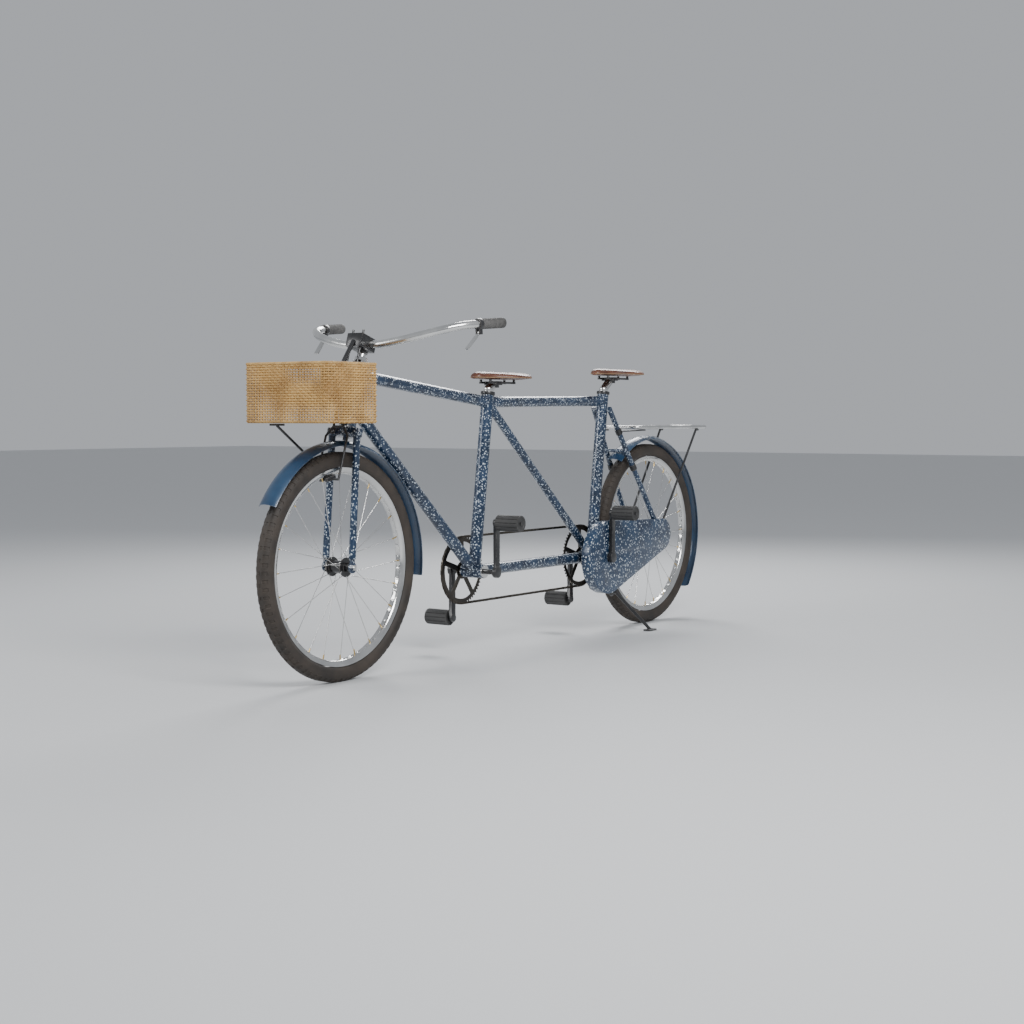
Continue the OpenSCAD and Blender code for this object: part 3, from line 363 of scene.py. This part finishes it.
brass = finish_of("brass", (0.55, 0.38, 0.14), (0.66, 0.48, 0.20), (0.75, 0.60, 0.32), 1.0, 0.25, 0.4, 0.05)
for end in ("front", "rear"):
    low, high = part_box(end + "_rim")
    hub = (low + high) / 2
    radius = (high.x - low.x) / 2
    half = (high.y - low.y) / 2
    inner = radius - rim_depth
    profile = [(radius, -half), (radius - 0.004, -half + 0.0006), (inner + 0.006, -half + 0.0025),
               (inner + 0.0015, -half + 0.0065), (inner, -0.006), (inner, 0.006),
               (inner + 0.0015, half - 0.0065), (inner + 0.006, half - 0.0025),
               (radius - 0.004, half - 0.0006), (radius, half), (radius - 0.0005, half - 0.003),
               (inner + 0.009, half - 0.005), (inner + 0.0035, 0.006), (inner + 0.0035, -0.006),
               (inner + 0.009, -half + 0.005), (radius - 0.0005, -half + 0.003)]
    rim = turned(end + "_rim_rolled", profile, hub, rim_steps, chrome)

    def is_dimple(face):
        from_hub = face.center - hub
        turn = int(((atan2(from_hub.z, from_hub.x) + tau) % tau) / tau * rim_steps)
        return abs(from_hub.y) < 0.003 and hypot(from_hub.x, from_hub.z) < inner + 0.001 and turn % 3 == 1

    pick_faces(rim, is_dimple)
    bpy.ops.mesh.inset(thickness=dimple_depth, depth=-dimple_depth, use_individual=True)
    bpy.ops.object.mode_set(mode="OBJECT")
    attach(rim, end + "_wheel")
    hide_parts(end + "_rim")
    bpy.ops.object.select_all(action="DESELECT")
    nipples = []
    for i in range(spoke_count):
        turn = tau * i / spoke_count
        out = Vector((cos(turn), 0, sin(turn)))
        place = hub + (inner - nipple_length / 2) * out + Vector((0, 0.002 if i % 2 == 0 else -0.002, 0))
        bpy.ops.mesh.primitive_cylinder_add(vertices=10, radius=0.0023, depth=nipple_length, location=place,
                                            rotation=out.to_track_quat("Z", "Y").to_euler())
        nipple = bpy.context.object
        bpy.ops.object.mode_set(mode="EDIT")
        bpy.ops.mesh.select_all(action="SELECT")
        bpy.ops.mesh.bevel(offset=0.0006, segments=1)
        bpy.ops.object.mode_set(mode="OBJECT")
        nipples.append(nipple)
    for nipple in nipples:
        nipple.select_set(True)
    bpy.ops.object.join()
    nipple_ring = bpy.context.object
    bpy.ops.object.transform_apply(location=True, rotation=True, scale=True)
    nipple_ring.name = end + "_spoke_nipples"
    nipple_ring.data.materials.append(brass)
    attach(nipple_ring, end + "_wheel")

# ---- Tyres ----
# Balloon tyres with a round brown-black casing. The tread is a band of ribs cut through by
# cross grooves, and a moulded bead meets the rim.
tyre_rubber = finish_of("tyre_rubber", (0.020, 0.016, 0.013), (0.050, 0.039, 0.031), (0.13, 0.11, 0.095),
                        0.0, 0.55, 0.8, 0.35, scale=420.0, edge=0.5)
tread_steps = 180
casing_radius = 0.0254
groove_depth = 0.0019

for end in ("front", "rear"):
    low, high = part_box(end + "_tyre")
    hub = (low + high) / 2
    radius = (high.z - low.z) / 2
    half = (high.y - low.y) / 2
    middle = radius - casing_radius
    profile = []
    for degree in range(-140, 141, 10):
        bulge = half - 0.0006 * (1 - cos(radians(degree)))
        y = bulge * sin(radians(degree))
        r = middle + bulge * cos(radians(degree))
        profile.append((min(r, radius - 0.0001), y))
    profile += [(middle - half * 0.72, 0.0155), (middle - half * 0.60, 0.0135), (middle - half * 0.60, -0.0135),
                (middle - half * 0.72, -0.0155)]
    tyre = turned(end + "_tyre_treaded", profile, hub, tread_steps, tyre_rubber)

    def is_groove(face):
        from_hub = face.center - hub
        turn = int(((atan2(from_hub.z, from_hub.x) + tau) % tau) / tau * tread_steps)
        across = abs(degrees(atan2(from_hub.y, hypot(from_hub.x, from_hub.z) - middle)))
        return (across < 10 and turn % 3 == 0) or (20 < across < 60 and turn % 2 == 0)

    pick_faces(tyre, is_groove)
    bpy.ops.mesh.inset(thickness=0.0011, depth=-groove_depth, use_individual=False)
    bpy.ops.object.mode_set(mode="OBJECT")
    bpy.ops.object.shade_smooth_by_angle(angle=radians(28))
    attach(tyre, end + "_wheel")
    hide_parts(end + "_tyre")

# ---- Fenders ----
# Rolled steel mudguards, crowned across with a wired edge on each side. They are blue like
# the frame but without its painted glints.
fender_paint = finish_of("fender_paint", (0.007, 0.030, 0.074), (0.014, 0.054, 0.118), (0.30, 0.33, 0.36),
                         0.1, 0.26, 0.42, 0.1, edge=0.8, coat=0.5)
fender_spans = {"front": (32, 188), "rear": (50.7, 217.4)}
sag = 0.014
sheet = 0.0012
for end, (first, last) in fender_spans.items():
    tyre_low, tyre_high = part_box(end + "_tyre")
    hub = (tyre_low + tyre_high) / 2
    low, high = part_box(end + "_fender")
    half = (high.y - low.y) / 2
    crown = high.z - hub.z
    bend = (half * half + sag * sag) / (2 * sag)
    outer = []
    for i in range(13):
        y = -half + sheet + (2 * half - 2 * sheet) * i / 12
        outer.append((crown - bend + (bend * bend - y * y) ** 0.5, y))
    edge_wire = [(outer[-1][0] - sheet, half - 0.0001), (outer[-1][0] - 0.0026, half - 0.0012),
                 (outer[-1][0] - 0.0022, half - 0.0024)]
    inside = [(r - sheet, y * 0.965) for r, y in reversed(outer)]
    profile = outer + edge_wire + inside[1:-1] + [(r, -y) for r, y in reversed(edge_wire)]
    guard = turned(end + "_fender_rolled", profile, hub, 72, fender_paint, radians(first), radians(last - first))
    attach(guard, "fork" if end == "front" else "frame")
    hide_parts(end + "_fender")

# ---- Handlebar ----
# A swept steel bar bent from one tube. Its middle is straight in the clamp, and each end
# sweeps back to a rider's hand.


def tube(name, points, radius, material, closed=False, sides=4):
    """A round tube along points, with smooth bends."""
    bpy.ops.object.select_all(action="DESELECT")
    bpy.ops.curve.primitive_nurbs_path_add(location=(0, 0, 0))
    piece = bpy.context.object
    piece.name = name
    piece.data.splines.clear()
    line = piece.data.splines.new("POLY")
    line.points.add(len(points) - 1)
    for spot, place in zip(line.points, points):
        spot.co = (*place, 1)
    line.use_cyclic_u = closed
    piece.data.dimensions = "3D"
    piece.data.bevel_depth = radius
    piece.data.bevel_resolution = sides
    piece.data.use_fill_caps = not closed
    piece.data.twist_mode = "MINIMUM"
    bpy.ops.object.convert(target="MESH")
    piece = bpy.context.object
    piece.data.materials.append(material)
    bpy.ops.object.shade_smooth_by_angle(angle=radians(45))
    return piece


def smooth_line(points, steps):
    """Points on a smooth curve through the given points."""
    ends = [points[0] * 2 - points[1], *points, points[-1] * 2 - points[-2]]
    line = []
    for i in range(1, len(ends) - 2):
        before, here, there, after = ends[i - 1], ends[i], ends[i + 1], ends[i + 2]
        for k in range(steps):
            t = k / steps
            line.append(0.5 * ((2 * here) + (there - before) * t
                               + (2 * before - 5 * here + 4 * there - after) * t * t
                               + (3 * here - before - 3 * there + after) * t ** 3))
    return line + [points[-1]]


bar_middle = Vector((0.80900, 0, 1.02740))
bar_radius = 0.0126
bar_side = [Vector(p) for p in ((0, 0.035, 0), (0, 0.070, 0), (-0.018, 0.150, 0.014), (-0.052, 0.228, 0.034),
                                (-0.104, 0.286, 0.052), (-0.161, 0.309, 0.060), (-0.276, 0.328, 0.069))]
left_side = [bar_middle + p for p in bar_side]
right_side = [Vector((p.x, -p.y, p.z)) for p in reversed(left_side)]
polished = finish_of("polished_bar", (0.66, 0.66, 0.65), (0.78, 0.78, 0.76), (0.30, 0.27, 0.22),
                     1.0, 0.10, 0.28, 0.03)
bar = tube("handlebar_bent", smooth_line(right_side + left_side, 8), bar_radius, polished, sides=6)
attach(bar, "fork")
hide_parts("handlebar")

# ---- Grips ----
# Moulded rubber sleeves, ringed along their length, with a flared collar at the inner end
# and a closed round cap at the outer end.
grip_rubber = finish_of("grip_rubber", (0.055, 0.054, 0.053), (0.11, 0.108, 0.105), (0.24, 0.23, 0.22),
                        0.0, 0.5, 0.75, 0.25, scale=500.0)
grip_radius = 0.0165
ring_depth = 0.0016
rings = 14
start = 0.0205
for side, name in ((1, "left"), (-1, "right")):
    grip_from = Vector((left_side[5].x, side * left_side[5].y, left_side[5].z))
    grip_to = Vector((left_side[6].x, side * left_side[6].y, left_side[6].z))
    along = (grip_to - grip_from).normalized()
    length = (grip_to - grip_from).length
    stretch = length - start - 0.010
    outline = [(start, 0), (start, grip_radius - 0.0010), (start + 0.001, grip_radius), (start + 0.005, grip_radius)]
    for i in range(rings):
        place = start + 0.006 + stretch * i / rings
        step = stretch / rings
        outline += [(place, grip_radius - ring_depth), (place + step * 0.35, grip_radius - ring_depth),
                    (place + step * 0.5, grip_radius - 0.0002), (place + step * 0.85, grip_radius - 0.0002)]
    outline += [(length, grip_radius - 0.0005), (length + 0.0022, grip_radius - 0.0030), (length + 0.0037, 0.006),
                (length + 0.0039, 0)]
    bpy.ops.object.select_all(action="DESELECT")
    bpy.ops.mesh.primitive_circle_add(vertices=len(outline), radius=0.01, location=(0, 0, 0))
    grip = bpy.context.object
    grip.name = name + "_grip_ringed"
    edge_dir = along.orthogonal().normalized()
    for vertex, (place, out) in zip(grip.data.vertices, outline):
        vertex.co = grip_from + along * place + edge_dir * out
    bpy.ops.object.mode_set(mode="EDIT")
    bpy.ops.mesh.select_mode(type="EDGE")
    bpy.ops.mesh.select_all(action="DESELECT")
    bpy.ops.object.mode_set(mode="OBJECT")
    for edge in grip.data.edges:
        edge.select = set(edge.vertices) == {0, len(outline) - 1}
    bpy.ops.object.mode_set(mode="EDIT")
    bpy.ops.mesh.delete(type="EDGE")
    bpy.ops.mesh.select_mode(type="VERT")
    bpy.ops.mesh.select_all(action="SELECT")
    bpy.ops.mesh.spin(steps=32, angle=tau, center=grip_from, axis=along, use_auto_merge=False)
    bpy.ops.mesh.select_all(action="SELECT")
    bpy.ops.mesh.remove_doubles(threshold=0.00001)
    bpy.ops.mesh.normals_make_consistent(inside=False)
    bpy.ops.object.mode_set(mode="OBJECT")
    grip.data.materials.append(grip_rubber)
    bpy.ops.object.shade_smooth_by_angle(angle=radians(35))
    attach(grip, "fork")
    if side == 1:
        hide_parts("handlebar_grips")

# ---- Saddles ----
# Moulded leather saddles: broad at the back, narrow at the nose, with a shallow channel
# down the middle and a sewn welt round the rim.
saddle_leather = finish_of("saddle_leather", (0.075, 0.022, 0.011), (0.17, 0.060, 0.028), (0.34, 0.19, 0.11),
                           0.0, 0.35, 0.55, 0.4, scale=650.0, edge=0.6, coat=0.2)
welt_thread = finish_of("welt_thread", (0.22, 0.13, 0.07), (0.34, 0.22, 0.12), (0.45, 0.33, 0.2), 0.0, 0.6, 0.8, 0.3)
seam_rise = 0.0058
dome_rise = 0.022
channel_depth = 0.0022


def saddle_width(t):
    """Half width, as a share of the whole, at t from the tail at 0 to the nose at 1."""
    if t < 0.36:
        return 0.5 * (1 - ((0.36 - t) / 0.36) ** 2.6) ** 0.5
    s = (t - 0.36) / 0.64
    waist = 0.13 + 0.37 * (0.5 + 0.5 * cos(pi * min(1.0, s * 1.28)))
    return waist * (1 - max(0.0, (s - 0.78) / 0.22) ** 2.4) ** 0.5 if s < 1 else 0.0


for end in ("front", "rear"):
    low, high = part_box(end + "_saddle")
    size = high - low
    bpy.ops.object.select_all(action="DESELECT")
    bpy.ops.mesh.primitive_uv_sphere_add(segments=64, ring_count=40, radius=1, location=(0, 0, 0))
    saddle = bpy.context.object
    saddle.name = end + "_saddle_moulded"
    for vertex in saddle.data.vertices:
        x, y, z = vertex.co
        t = (x + 1) / 2
        rim_share = max(0.0, 1 - x * x) ** 0.5
        side = max(-1.0, min(1.0, y / rim_share)) if rim_share > 1e-4 else 0.0
        dome = min(1.0, abs(z) / rim_share) if rim_share > 1e-4 else 0.0
        wide = saddle_width(min(1.0, max(0.0, t))) * size.y
        end_fall = max(0.0, 1 - abs(2 * t - 1) ** 7) ** 0.5
        rise = dome_rise * dome ** 0.8 * (0.86 + 0.14 * abs(2 * t - 1) ** 2) * end_fall
        channel = channel_depth * max(0.0, 1 - (side / 0.28) ** 2) * max(0.0, 1 - abs(t - 0.55) / 0.4)
        height = rise - channel if z > 0 else -0.0052 * dome
        vertex.co = (low.x + t * size.x, side * wide, low.z + seam_rise + height)
    bpy.ops.object.mode_set(mode="EDIT")
    bpy.ops.mesh.select_all(action="SELECT")
    bpy.ops.mesh.remove_doubles(threshold=0.0001)
    bpy.ops.mesh.normals_make_consistent(inside=False)
    bpy.ops.object.mode_set(mode="OBJECT")
    saddle.data.materials.append(saddle_leather)
    bpy.ops.object.shade_smooth_by_angle(angle=radians(60))
    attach(saddle, "frame")
    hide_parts(end + "_saddle")
    rim_line = []
    for i in range(120):
        turn = tau * i / 120
        t = 0.5 + 0.492 * cos(turn)
        y = saddle_width(t) * size.y * (0.985 if sin(turn) > 0 else -0.985)
        rim_line.append(Vector((low.x + t * size.x, y, low.z + seam_rise)))
    welt = tube(end + "_saddle_welt", rim_line, 0.0016, welt_thread, closed=True, sides=2)
    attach(welt, "frame")

# ---- Basket ----
# A willow basket: upright stakes with rods woven in and out of them, a rolled border on
# top and a woven floor. The CAD walls only say where it is.
wicker = finish_of("wicker", (0.34, 0.185, 0.055), (0.60, 0.375, 0.130), (0.72, 0.52, 0.26),
                   0.0, 0.5, 0.72, 0.5, scale=240.0)
basket_low, basket_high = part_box("basket")
basket_middle = (basket_low + basket_high) / 2
wall = 0.009
corner = 0.018
stakes = 96
rows = 22
weaver_radius = 0.0030
floor_rod_pitch = 0.0079


def basket_ring(inset, z, count, wave=0.0, beat=0, phase=0):
    """Points round the basket, inset from its outside, waving in and out beat times."""
    wide = basket_high.x - basket_low.x - 2 * inset
    deep = basket_high.y - basket_low.y - 2 * inset
    r = corner - inset * 0.5
    straight = [wide - 2 * r, deep - 2 * r]
    total = 2 * sum(straight) + tau * r
    points = []
    for i in range(count):
        walk = total * i / count
        shift = wave * sin(pi * (beat * i / count) + phase)
        for leg in range(4):
            run = straight[leg % 2]
            heading = Matrix.Rotation(pi / 2 * leg, 3, "Z")
            span = (run / 2, straight[(leg + 1) % 2] / 2 + r)
            if walk <= run:
                place = heading @ Vector((-span[0] + walk, -span[1], 0))
                out = heading @ Vector((0, -1, 0))
                break
            walk -= run
            if walk <= r * pi / 2:
                turn = walk / r
                pivot = heading @ Vector((span[0], -span[1] + r, 0))
                out = heading @ Vector((sin(turn), -cos(turn), 0))
                place = pivot + out * r
                break
            walk -= r * pi / 2
        points.append(Vector((basket_middle.x, basket_middle.y, z)) + place + out * shift)
    return points


def joined(name, pieces):
    bpy.ops.object.select_all(action="DESELECT")
    for piece in pieces:
        piece.select_set(True)
    bpy.context.view_layer.objects.active = pieces[0]
    bpy.ops.object.join()
    bpy.context.object.name = name
    return bpy.context.object


mid_wall = wall / 2
stake_line = basket_ring(mid_wall, basket_low.z + 0.003, stakes)
stake_pieces = []
for foot in stake_line:
    head = Vector((foot.x, foot.y, basket_high.z - 0.006))
    stake_pieces.append(tube("stake", [foot, (foot + head) / 2, head], 0.0016, wicker, sides=1))
weave_pieces = []
pitch = (basket_high.z - basket_low.z - 0.020) / (rows - 1)
for row in range(rows):
    z = basket_low.z + 0.0075 + row * pitch
    ring_points = basket_ring(mid_wall, z, stakes * 4, wave=0.0023, beat=stakes, phase=pi * (row % 2) + pi / 2)
    weave_pieces.append(tube("weaver", ring_points, weaver_radius, wicker, closed=True, sides=1))
border_pieces = []
for strand in range(3):
    count = stakes * 5
    points = basket_ring(mid_wall, basket_high.z - 0.0052, count)
    for i, spot in enumerate(points):
        twist = tau * (stakes / 2 * i / count + strand / 3)
        outward = Vector((spot.x - basket_middle.x, spot.y - basket_middle.y, 0)).normalized()
        points[i] = spot + outward * 0.0019 * cos(twist) + Vector((0, 0, 0.0019 * sin(twist)))
    border_pieces.append(tube("border", points, weaver_radius, wicker, closed=True, sides=1))
floor_pieces = []
floor_z = basket_low.z + 0.005
floor_length = basket_high.x - basket_low.x - 2 * wall
floor_rods = int(floor_length / floor_rod_pitch)
for i in range(floor_rods):
    x = basket_low.x + wall + floor_length * (i + 0.5) / floor_rods
    rod = [Vector((x, y, floor_z)) for y in (basket_low.y + wall * 0.7, 0, basket_high.y - wall * 0.7)]
    floor_pieces.append(tube("floor_rod", rod, 0.0041, wicker, sides=1))
for name, pieces in (("basket_stakes", stake_pieces), ("basket_weave", weave_pieces),
                     ("basket_border", border_pieces), ("basket_floor", floor_pieces)):
    piece = joined(name, pieces)
    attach(piece, "fork")
    if name == "basket_weave":
        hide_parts("basket")

# ---- Pedals ----
# Barrel pedals: a rubber block with twelve ribs along it and a sunk face at each end,
# turning on the crank's pin.
pedal_rubber = finish_of("pedal_rubber", (0.030, 0.030, 0.030), (0.062, 0.061, 0.060), (0.16, 0.155, 0.15),
                         0.0, 0.5, 0.75, 0.3, scale=420.0)
pedal_sides = 48
for node in ("front_left_pedal", "front_right_pedal", "rear_left_pedal", "rear_right_pedal"):
    low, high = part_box(node)
    centre = (low + high) / 2
    bpy.ops.object.select_all(action="DESELECT")
    bpy.ops.mesh.primitive_cylinder_add(vertices=pedal_sides, radius=(high.z - low.z) / 2, depth=high.y - low.y,
                                        location=centre, rotation=(pi / 2, 0, 0))
    pedal = bpy.context.object
    pedal.name = node + "_ribbed"
    bpy.ops.object.transform_apply(location=True, rotation=True, scale=True)
    pick_faces(pedal, lambda face: abs(face.normal.y) > 0.9)
    bpy.ops.mesh.inset(thickness=0.006, depth=0, use_individual=True)
    bpy.ops.mesh.inset(thickness=0.002, depth=-0.003, use_individual=True)
    bpy.ops.object.mode_set(mode="OBJECT")

    def is_slot(face):
        across = face.center - centre
        turn = int((atan2(across.z, across.x) + pi) / tau * pedal_sides)
        return abs(face.normal.y) < 0.2 and hypot(across.x, across.z) > 0.02 and turn % 4 == 0

    pick_faces(pedal, is_slot)
    bpy.ops.mesh.inset(thickness=0.0006, depth=-0.0028, use_individual=False)
    bpy.ops.object.mode_set(mode="OBJECT")
    bevel = pedal.modifiers.new("bevel", "BEVEL")
    bevel.width = 0.0007
    bevel.segments = 2
    bevel.limit_method = "ANGLE"
    bevel.angle_limit = radians(40)
    bpy.ops.object.modifier_apply(modifier="bevel")
    bpy.ops.object.shade_smooth_by_angle(angle=radians(35))
    pedal.data.materials.append(pedal_rubber)
    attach(pedal, node + "_body")
    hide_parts(node)

# ---- Chains ----
# Half-inch roller chains. A pair of links is modelled once: two rollers between inner
# plates, and outer plates over the joint. The pair is repeated round each pair of rings.
chain_steel = finish_of("chain_steel", (0.040, 0.034, 0.028), (0.085, 0.074, 0.062), (0.30, 0.27, 0.23),
                        0.95, 0.28, 0.5, 0.08)
half_inch = 0.0127
plate_thick = 0.0008
timing_teeth = 56
drive_teeth = 52
sprocket_teeth = 20


def plate(y, start):
    """A chain plate with round ends, from one pin to the next, at distance y from the middle."""
    bpy.ops.mesh.primitive_circle_add(vertices=12, radius=0.0041, fill_type="NGON", location=(0, 0, 0),
                                      rotation=(pi / 2, radians(15), 0))
    piece = bpy.context.object
    bpy.ops.object.transform_apply(location=True, rotation=True, scale=True)
    for vertex in piece.data.vertices:
        vertex.co.x += start + (half_inch if vertex.co.x > 0 else 0)
        vertex.co.y += y
    bpy.ops.object.mode_set(mode="EDIT")
    bpy.ops.mesh.select_all(action="SELECT")
    bpy.ops.mesh.extrude_region_move(TRANSFORM_OT_translate={"value": (0, plate_thick if y > 0 else -plate_thick, 0)})
    bpy.ops.mesh.select_all(action="SELECT")
    bpy.ops.mesh.normals_make_consistent(inside=False)
    bpy.ops.object.mode_set(mode="OBJECT")
    return piece


def roller(x):
    bpy.ops.mesh.primitive_cylinder_add(vertices=10, radius=0.0038, depth=0.0034, location=(x, 0, 0),
                                        rotation=(pi / 2, 0, 0))
    piece = bpy.context.object
    bpy.ops.object.transform_apply(location=True, rotation=True, scale=True)
    return piece


def chain(name, node, first, first_teeth, second, second_teeth):
    """A roller chain from the first ring to the second, each given by its middle and teeth."""
    first_radius = half_inch / (2 * sin(pi / first_teeth))
    second_radius = half_inch / (2 * sin(pi / second_teeth))
    low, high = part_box(node)
    y = (low.y + high.y) / 2
    gap = second - first
    lean = acos((first_radius - second_radius) / gap.length)
    heading = atan2(gap.z, gap.x)
    run = (gap.length ** 2 - (first_radius - second_radius) ** 2) ** 0.5
    wrap_first = tau - 2 * lean
    wrap_second = 2 * lean
    total = first_radius * wrap_first + 2 * run + second_radius * wrap_second
    links = round(total / half_inch / 2) * 2
    bpy.ops.object.select_all(action="DESELECT")
    link = joined("link", [plate(0.0017, 0), plate(-0.0017, 0), plate(0.0026, half_inch), plate(-0.0026, half_inch),
                           roller(0), roller(half_inch)])
    source = [vertex.co.copy() for vertex in link.data.vertices]

    def on_ring(middle, radius, turn):
        return Vector((middle.x + radius * cos(turn), 0, middle.z + radius * sin(turn))), turn + pi / 2

    def on_run(middle, radius, turn, walk):
        start, ahead = on_ring(middle, radius, turn)
        return start + walk * Vector((cos(ahead), 0, sin(ahead))), ahead

    def place(walk):
        """The point walk along the chain, and its direction there."""
        walk %= total
        if walk < first_radius * wrap_first:
            return on_ring(first, first_radius, heading + lean + walk / first_radius)
        walk -= first_radius * wrap_first
        if walk < run:
            return on_run(first, first_radius, heading + lean + wrap_first, walk)
        walk -= run
        if walk < second_radius * wrap_second:
            return on_ring(second, second_radius, heading - lean + walk / second_radius)
        walk -= second_radius * wrap_second
        return on_run(second, second_radius, heading + lean, walk)

    between_teeth = (0.5 - (heading + lean) / tau * first_teeth) % 1 * half_inch
    stretch = total / (links * half_inch)
    copies = []
    for i in range(links // 2):
        copy = link.copy()
        copy.data = link.data.copy()
        bpy.context.collection.objects.link(copy)
        for vertex, at in zip(copy.data.vertices, source):
            spot, turn = place(between_teeth + 2 * i * half_inch * stretch + at.x)
            inward = Vector((-sin(turn), 0, cos(turn)))
            vertex.co = spot + inward * at.z + Vector((0, y + at.y, 0))
        copies.append(copy)
    bpy.data.objects.remove(link)
    whole = joined(name, copies)
    whole.data.materials.clear()
    whole.data.materials.append(chain_steel)
    bpy.ops.object.shade_smooth_by_angle(angle=radians(30))
    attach(whole, "frame")
    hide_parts(node)


def shaft_of(node):
    """The middle of a round node, moved onto the bicycle's middle plane."""
    low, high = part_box(node)
    return Vector(((low.x + high.x) / 2, 0, (low.z + high.z) / 2))


rear_shaft = shaft_of("rear_crankset")
chain("timing_chain_links", "timing_chain", rear_shaft, timing_teeth, shaft_of("front_crankset"), timing_teeth)
chain("drive_chain_links", "drive_chain", rear_shaft, drive_teeth, shaft_of("rear_tyre"), sprocket_teeth)

# ---- Rack ----
# The platform behind the rear saddle: a bent outer rail with cross bars and three slats,
# brazed together and plated.
rack_low, rack_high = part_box("rack_platform")
rail = 0.007
rack_z = rack_high.z - rail
rack_middle_x = (rack_low.x + rack_high.x) / 2
outline = []
bend_radius = 0.030
for sx, sy, first in ((1, 1, 0), (-1, 1, 90), (-1, -1, 180), (1, -1, 270)):
    pivot = Vector((rack_middle_x + sx * ((rack_high.x - rack_low.x) / 2 - rail - bend_radius),
                    sy * (rack_high.y - rail - bend_radius), rack_z))
    for k in range(9):
        turn = radians(first + 90 * k / 8)
        outline.append(pivot + bend_radius * Vector((cos(turn), sin(turn), 0)))
ends = rack_high.y - rail
rack_pieces = [tube("rail", outline, rail, chrome, closed=True, sides=4)]
for i in range(1, 6):
    x = rack_low.x + i * (rack_high.x - rack_low.x) / 6
    bar_line = [Vector((x, y, rack_z - 0.0035)) for y in (-ends, 0, ends)]
    rack_pieces.append(tube("cross", bar_line, 0.0042, chrome, sides=3))
for i in (-1, 0, 1):
    y = i * (rack_high.y - rack_low.y) / 4
    slat_line = [Vector((x, y, rack_z + 0.0015)) for x in (rack_low.x + rail, rack_middle_x, rack_high.x - rail)]
    rack_pieces.append(tube("slat", slat_line, 0.0044, chrome, sides=3))
rack = joined("rack_platform_rails", rack_pieces)
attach(rack, "frame")
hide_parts("rack_platform")

bpy.ops.object.select_all(action="DESELECT")
